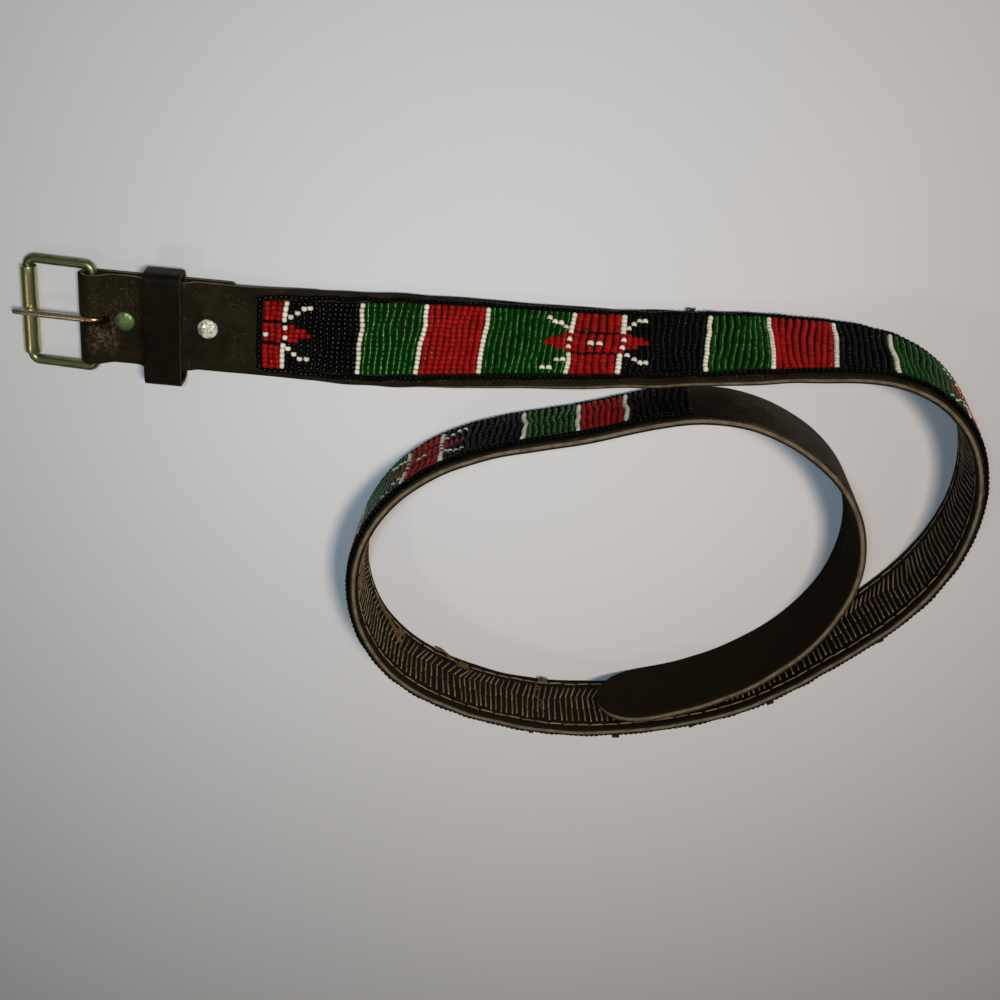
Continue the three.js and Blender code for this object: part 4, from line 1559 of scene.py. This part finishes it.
    def ends(self) -> tuple[float, float]:
        """Where the border strings cross the strap: before the first row and after the last."""
        s = self.sizes
        return s.beadwork_start + s.border_width / 2, self.blocks()[-1][2] + s.border_width / 2

    def border_row(self, distance: float, across: float, rng: np.random.Generator) -> list[float]:
        """The columns of one border bead, with a little of its own size, tint and lie."""
        half = self.border_half
        return [
            distance, across, self.sizes.strap_thickness / 2 + half * self.seat,
            self.border_bead / 2 * self.border_bead_share, half * rng.uniform(0.94, 1.06),
            half * rng.uniform(0.94, 1.06), rng.uniform(), rng.normal(0, 0.06),
        ]

    def border_beads(self) -> list[BeadList]:
        """The border strings: two lengthwise ones and two across, with rounded corners."""
        rng = np.random.default_rng(self.seed + 1)
        start, end = self.ends()
        lists = []
        for side in (-1, 1):
            count = round((end - start) / self.border_bead)
            at = np.linspace(start, end, count)
            wave = sway(30 + side, 6, 18 * MM, at) * 0.2 * MM
            corner = 1.3 * MM * (ease(3.5 * MM, 0, at - start) + ease(3.5 * MM, 0, end - at))
            places = side * (self.border_place + wave - corner)
            rows = [self.border_row(distance, across, rng) for distance, across in zip(at, places)]
            lists.append(BeadList.gather(rows, lengthwise=True))
        count = round(self.sizes.row_length / self.border_bead) + 1
        places = np.linspace(-1, 1, count) * (self.border_place - 1.9 * MM)
        bow = 0.7 * MM * (np.abs(places) / self.border_place) ** 6
        rows = [
            self.border_row(distance + sign * (curve - 0.2 * MM), place, rng)
            for distance, sign in ((start, 1), (end, -1))
            for place, curve in zip(places, bow)
        ]
        lists.append(BeadList.gather(rows))
        return lists

    def surface(self, beads: BeadList, roundness: float) -> Surface:
        """All the beads of a list as barrels with dimpled ends, worked out at once.

        A barrel's radius falls from its middle to its ends as a power of the place along it, and
        its poles are sunk inwards as the hole's mouth.

        Args:
            beads: The beads.
            roundness: How far the ends draw in: 0 for a straight tube, 1 for a ball.

        Returns:
            The surface, with tint and crest for each vertex.
        """
        around = self.around
        place = np.array([-1.0, -0.72, 0.0, 0.72, 1.0])
        radius = 1 - roundness * np.array([0.55, 0.14, 0.0, 0.14, 0.55])
        turn = full_turn(around, 0.5)
        x = np.concatenate([np.repeat(place, around), [-self.mouth, self.mouth]])
        y = np.concatenate([np.outer(radius, np.sin(turn)).ravel(), [0, 0]])
        z = np.concatenate([np.outer(radius, np.cos(turn)).ravel(), [0, 0]])
        stations = self.path.stations(beads.distance)
        tilt = (beads.tint - 0.5)[:, None] * self.tilt
        spin = unit(stations.across + beads.skew[:, None] * stations.along + tilt * stations.out)
        flat = unit(stations.along - (stations.along * spin).sum(axis=1, keepdims=True) * spin)
        if beads.lengthwise:
            spin = unit(stations.along + beads.skew[:, None] * stations.across + tilt * stations.out)
            flat = unit(-stations.across + (stations.across * spin).sum(axis=1, keepdims=True) * spin)
        raised = beads.out + self.path.relief(beads.distance, beads.across)
        centre = stations.place(beads.across, raised)
        rise = unit(np.cross(spin, flat))
        rise = rise * np.sign((rise * stations.out).sum(axis=1, keepdims=True))
        local = (
            (x[None] * beads.half_length[:, None])[..., None] * spin[:, None]
            + (y[None] * beads.half_pitch[:, None])[..., None] * flat[:, None]
            + (z[None] * beads.half_height[:, None])[..., None] * rise[:, None]
        )
        size, count = len(x), len(beads.distance)
        starts = np.arange(count)[:, None, None] * size
        ring = np.arange(around)
        left = np.stack([np.full(around, size - 2), (ring + 1) % around, ring], axis=1)
        edge = 4 * around
        right = np.stack([np.full(around, size - 1), edge + ring, edge + (ring + 1) % around], axis=1)
        # The crest value: 1 on the turned top of a bead, where the painted highlight and the coat lie.
        lean = np.cos(np.concatenate([np.tile(turn, 5), [math.pi, math.pi]]) - self.crest_turn)
        return Surface(
            (centre[:, None] + local).reshape(-1, 3),
            (grid_quads(5, around)[None] + starts).reshape(-1, 4),
            (np.concatenate([left, right])[None] + starts).reshape(-1, 3),
            values={"tint": np.repeat(beads.tint, size), "crest": np.tile(lean, count)},
        )

    def build(self) -> None:
        """Makes the beads by colour and dresses them."""
        glass = {
            Bead.RED: (Glass("red_glass", (0.15, 0.0018, 0.0018), (0.38, 0.0085, 0.0065)), 0.62),
            Bead.GREEN: (
                Glass(
                    "green_glass", (0.0012, 0.0165, 0.0012), (0.0042, 0.050, 0.0042),
                    # The green beads carry the painted highlight along their crests.
                    painted_highlight=(0.17, 0.52, 0.10), painted_highlight_share=0.8,
                ),
                0.3,
            ),
            Bead.BLACK: (Glass("black_glass", (0.0010, 0.0010, 0.0010), (0.0030, 0.0030, 0.0028)), 0.7),
            Bead.WHITE: (Glass("white_glass", (0.56, 0.49, 0.36), (0.80, 0.75, 0.62), rough=0.3), 0.75),
        }
        materials = {colour: finish.material() for colour, (finish, _) in glass.items()}
        nodes = sorted(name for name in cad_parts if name.startswith("beads_"))
        for colour, beads in self.cross_beads().items():
            word = colour.name.lower()
            surface = self.surface(beads, glass[colour][1])
            stands_for = [name for name in nodes if f"_{word}_" in name]
            finish_piece(surface.mesh(word), f"{word}_beads", materials[colour], "belt", stands_for)
        border = join_surfaces([self.surface(beads, 0.7) for beads in self.border_beads()])
        stands_for = ["border_near", "border_far", "border_start", "border_end"]
        black = materials[Bead.BLACK]
        finish_piece(border.mesh("border"), "border_beads", black, "belt", stands_for)


@dataclass
class BackStitches:
    """The threads at the back of the beadwork: a kinked line a row, and a running line by each edge.

    A thread leans back along the strap by its kink times its distance from the apex, and by a
    share of that on the near side.
    """

    sizes: BeltSizes
    path: BeltPath
    work: Beadwork
    reach: float = 12.8 * MM
    thread: float = 0.35 * MM
    edge_place: float = 15.4 * MM
    dash: float = 5.6 * MM
    dash_gap: float = 0.7 * MM
    kink: float = 0.30
    near_share: float = 0.25
    apex: float = -4.2 * MM
    shift: float = 1.2 * MM
    arch: float = 0.2 * MM
    sunk: float = 0.04 * MM
    seed: int = 404

    def on_back(self, distance: Array, across: Array, lift: Array | float) -> tuple[Array, Array]:
        """Points on the back of the strap and the direction out of it.

        Args:
            distance: Distances as thread by step.
            across: Places across, of the same shape.
            lift: How far off the leather.

        Returns:
            Points and normals, as thread by step by three.
        """
        stations = self.path.stations(distance.ravel())
        out = self.path.relief(distance, across) - self.sizes.strap_thickness / 2 - lift
        points = stations.place(across.ravel(), out.ravel())
        return points.reshape(*distance.shape, 3), -stations.out.reshape(*distance.shape, 3)

    def threads(self, distance: Array, across: Array) -> Surface:
        """Threads through those places, each arched off the leather with its ends sunk in."""
        steps = np.linspace(0, 1, distance.shape[1])
        lift = self.arch * np.sin(math.pi * steps)[None] - self.sunk
        points, normals = self.on_back(distance, across, lift)
        return tube_bundle(points, normals, self.thread, self.thread * 0.8, 6)

    def cross_threads(self) -> Surface:
        """Each row's thread in a few dashes; the kink and the apex wander from row to row."""
        rng = np.random.default_rng(self.seed)
        rows = np.array([row[0] for row in self.work.rows()])
        kink = self.kink + 0.09 * sway(8, 5, 90 * MM, rows) + rng.normal(0, 0.03, len(rows))
        apex = self.apex + 2.4 * MM * sway(9, 5, 60 * MM, rows)
        paths, places = [], []
        steps = np.linspace(0, 1, 5)
        for distance, bend, top in zip(rows, kink, apex):
            inner = self.reach - 3 * MM
            breaks = np.clip([top, top + rng.uniform(6, 10) * MM], -inner, inner)
            knots = np.sort(np.concatenate([[-self.reach, self.reach], breaks]))
            knots[[0, -1]] += rng.normal(0, 0.4 * MM, 2)
            for low, high in zip(knots[:-1], knots[1:]):
                across = low + 0.25 * MM + (high - low - 0.5 * MM) * steps
                slant = rng.normal(0, 0.012) * (across - across.mean())
                far, near = np.maximum(top - across, 0), np.maximum(across - top, 0)
                lean = bend * far + self.near_share * bend * near
                paths.append(distance - lean + self.shift + slant + rng.normal(0, 0.1 * MM))
                places.append(across)
        return self.threads(np.array(paths), np.array(places))

    def edge_threads(self) -> Surface:
        """The running stitches along each edge: dashes with short gaps, slightly out of line."""
        rng = np.random.default_rng(self.seed + 1)
        start, end = self.work.ends()
        pitch = self.dash + self.dash_gap
        count = int((end - start) / pitch)
        steps = np.linspace(0, 1, 5)
        first = start + np.arange(count)[:, None] * pitch
        parts = []
        for side in (-1, 1):
            distance = first + self.dash * steps[None] + rng.normal(0, 0.25 * MM, (count, 1))
            lean = rng.normal(0, 0.28 * MM, (count, 1)) * (steps[None] - 0.5)
            across = side * self.edge_place + rng.normal(0, 0.16 * MM, (count, 1)) + lean
            parts.append(self.threads(distance, across))
        return join_surfaces(parts)

    def build(self) -> None:
        """Makes the threads and dresses them."""
        tan = Thread("tan_thread", (0.24, 0.180, 0.105), (0.115, 0.080, 0.043)).material()
        stitches = join_surfaces([self.cross_threads(), self.edge_threads()])
        finish_piece(stitches.mesh("stitches"), "back_stitches", tan, "belt")


@dataclass(frozen=True)
class Strand:
    """A loose thread end on the back, from one distance and place across to another, and its arch."""

    start: float
    start_across: float
    end: float
    end_across: float
    arch: float
    sway: float = 0.0


@dataclass
class LooseThreads:
    """Thread ends, tufts and knots left on the back and along the edges by the sewing."""

    sizes: BeltSizes
    back: BackStitches
    thread: float = 0.24 * MM
    strands: tuple[Strand, ...] = (
        Strand(0.7225, -12 * MM, 0.7000, -10.5 * MM, 1.0 * MM, 0.5 * MM),
        Strand(0.7160, -12 * MM, 0.6990, -4 * MM, 1.4 * MM),
        Strand(0.7080, -11.5 * MM, 0.6985, -7 * MM, 0.7 * MM, 0.4 * MM),
        Strand(0.6800, -19.2 * MM, 0.6700, -14 * MM, 1.6 * MM, 0.3 * MM),
        Strand(0.6770, -18.6 * MM, 0.6660, -13 * MM, 0.9 * MM, 0.6 * MM),
        Strand(0.6670, -14 * MM, 0.6610, -12.5 * MM, 0.9 * MM, 0.7 * MM),
        Strand(0.6285, -15.5 * MM, 0.6290, -5 * MM, 0.5 * MM, 1.1 * MM),
        Strand(0.6290, -5 * MM, 0.6250, 6.5 * MM, 0.6 * MM, 0.9 * MM),
    )
    tufts: tuple[tuple[float, float, float], ...] = (
        (0.6995, -10.8 * MM, 1.2 * MM), (0.6775, -18.4 * MM, 0.9 * MM), (0.6645, -13 * MM, 1.5 * MM),
        (0.6260, -16 * MM, 1.3 * MM), (0.6990, -5 * MM, 0.8 * MM),
    )
    knots: tuple[tuple[float, float, float], ...] = (
        (0.5930, 18.8 * MM, 1.0 * MM), (0.5245, 18.8 * MM, 1.0 * MM), (0.0915, -18.6 * MM, 1.1 * MM),
        (0.2450, -18.6 * MM, 1.2 * MM), (0.1030, 17.6 * MM, 0.8 * MM), (0.5600, 18.8 * MM, 0.6 * MM),
        (0.4700, 18.7 * MM, 0.7 * MM), (0.6300, 18.8 * MM, 0.6 * MM),
    )

    def strand(self, strand: Strand) -> Surface:
        """One strand as a tube: straight between its ends, arched off the leather and swaying."""
        share = np.linspace(0, 1, 18)
        wave = strand.sway * np.sin(share * 3 * math.pi)
        distance = strand.start + (strand.end - strand.start) * share + wave
        across = strand.start_across + (strand.end_across - strand.start_across) * share - wave / 2
        lift = self.thread + strand.arch * np.sin(math.pi * share)
        points, normals = self.back.on_back(distance[None], across[None], lift[None])
        return tube_bundle(points, normals, self.thread, self.thread, 6)

    def tangle(self, distance: float, across: float, size: float, on_face: bool, seed: int) -> Surface:
        """A small tangle: a tube along three sine waves of different pace.

        Args:
            distance: Where it is along the strap.
            across: Where it is across.
            size: Its radius.
            on_face: Whether it sits on the beaded side rather than on the back.
            seed: Which tangle.

        Returns:
            The tube.
        """
        station = self.back.path.stations(np.array([distance]))
        turn = np.linspace(0, 2 * math.pi, 120)
        paces = np.random.default_rng(seed).permutation([5.0, 7.0, 8.0])
        wave = [size * np.sin(pace * turn + phase) for pace, phase in zip(paces, (0.0, 0.6, 1.9))]
        seat = self.sizes.strap_thickness / 2 + size * 0.55
        out = (seat if on_face else -seat) + wave[1] * 0.7
        points = station.place(across + wave[0][None] * 0.55, out[None], wave[2][None] * 1.5)
        normals = np.broadcast_to(station.across[0], points.shape)
        thin = self.thread * 0.75
        return tube_bundle(points, normals, thin, thin, 5)

    def build(self) -> None:
        """Makes the pale ends and the black knots, and dresses them."""
        yellow = Thread("waxed_thread", (0.26, 0.175, 0.045), (0.10, 0.060, 0.018)).material()
        black = Thread("black_thread", (0.012, 0.010, 0.008), (0.004, 0.004, 0.003)).material()
        pale = [self.strand(strand) for strand in self.strands]
        pale += [self.tangle(*tuft, on_face=False, seed=number) for number, tuft in enumerate(self.tufts)]
        dark = [self.tangle(*knot, on_face=True, seed=number) for number, knot in enumerate(self.knots)]
        finish_piece(join_surfaces(pale).mesh("loose_threads"), "loose_threads", yellow, "belt")
        finish_piece(join_surfaces(dark).mesh("thread_knots"), "thread_knots", black, "belt")


# The camera, the table and the light


def stand(name: str, data: bpy.types.ID, axes: Sequence[Array], place: Sequence[float]) -> bpy.types.Object:
    """A new object in the scene with those axes at that place."""
    made = bpy.data.objects.new(name, data)
    rows = [[*(axis[i] for axis in axes), place[i]] for i in range(3)]
    made.matrix_world = Matrix([*rows, [0, 0, 0, 1]])
    bpy.context.scene.collection.objects.link(made)
    return made


@dataclass(frozen=True)
class PhotoCamera:
    """The photograph's camera: where it aims on the table, how it tilts and rolls, and its reach."""

    aim: tuple[float, float] = (4.95 * MM, -1.14 * MM)
    tilt: float = math.radians(27.51)
    roll: float = math.radians(5.36)
    reach: float = 669.4 * MM
    lens: float = 55.27
    sensor: float = 36

    def build(self) -> None:
        """Places the camera on the far side, tilted from the upright, and makes it the scene's."""
        ahead = np.array([0, -math.sin(self.tilt), -math.cos(self.tilt)])
        up = np.array([0, math.cos(self.tilt), -math.sin(self.tilt)])
        aside = np.array([1.0, 0, 0])
        c, s = math.cos(self.roll), math.sin(self.roll)
        columns = (c * aside + s * up, c * up - s * aside, -ahead)
        place = np.array([*self.aim, 0]) - ahead * self.reach
        data = bpy.data.cameras.new("photo_camera")
        data.lens, data.sensor_width, data.clip_start = self.lens, self.sensor, 0.01
        bpy.context.scene.camera = stand("photo_camera", data, columns, place)


@dataclass(frozen=True)
class SoftLamp:
    """A square soft light that looks at a point, with its spread in degrees."""

    name: str
    place: tuple[float, float, float]
    aim: tuple[float, float, float]
    size: float
    power: float
    colour: Colour
    spread: float

    def build(self) -> None:
        """Makes the light and turns it to its aim."""
        data = bpy.data.lights.new(self.name, "AREA")
        data.size, data.energy, data.color = self.size, self.power, self.colour
        data.spread = math.radians(self.spread)
        back = unit(np.array(self.place) - np.array(self.aim))
        aside = unit(np.cross((0.0, 1.0, 0.0), back))
        stand(self.name, data, (aside, np.cross(back, aside), back), self.place)


@dataclass(frozen=True)
class Studio:
    """The plain pale table and its lights.

    A warm key light stands at the far right, a small cool light near the camera and a weak warm
    one at the near left, with a faint cool sky all round.
    """

    floor_half: float = 3.0
    sky: Colour = (0.52, 0.76, 1.0)
    sky_strength: float = 0.08
    lamps: tuple[SoftLamp, ...] = (
        SoftLamp("key_light", (0.45, 0.52, 1.60), (0.02, 0.03, 0), 0.28, 1.18, (1.0, 0.84, 0.70), 42),
        SoftLamp("overhead_light", (-0.05, 0.35, 0.75), (-0.04, 0.05, 0), 0.09, 0.32, (0.60, 0.81, 1.0), 64),
        SoftLamp("side_light", (-0.50, -0.45, 1.00), (0, 0, 0), 0.14, 0.14, (1.0, 0.93, 0.80), 80),
    )

    def build(self) -> None:
        """Makes the table, the lights and the world."""
        corners = np.array([(-1.0, -1, 0), (1, -1, 0), (1, 1, 0), (-1, 1, 0)]) * self.floor_half
        mesh = Surface(corners, np.array([[0, 1, 2, 3]])).mesh("table_top", smooth=False)
        mesh.materials.append(Paper().material())
        floor = bpy.data.objects.new("table_top", mesh)
        bpy.context.scene.collection.objects.link(floor)
        for lamp in self.lamps:
            lamp.build()
        world = bpy.data.worlds.new("room")
        bpy.context.scene.world = world
        world.use_nodes = True
        background = world.node_tree.nodes["Background"]
        background.inputs[0].default_value = (*self.sky, 1)
        background.inputs[1].default_value = self.sky_strength
        bpy.context.scene.view_settings.view_transform = "Standard"


def main() -> None:
    """Builds the sub-assemblies in order."""
    sizes = BeltSizes()
    path = BeltPath(sizes)
    LOG.info("bar at x %.3f mm, y %.3f mm", path.bar_x / MM, path.bar_y / MM)
    PhotoCamera().build()
    Studio().build()
    Strap(sizes, path).build()
    Keeper(sizes, path).build()
    Rivets(sizes, path).build()
    Buckle(sizes, path).build()
    work = Beadwork(sizes, path)
    work.build()
    stitches = BackStitches(sizes, path, work)
    stitches.build()
    LooseThreads(sizes, stitches).build()


if __name__ == "__main__":
    main()
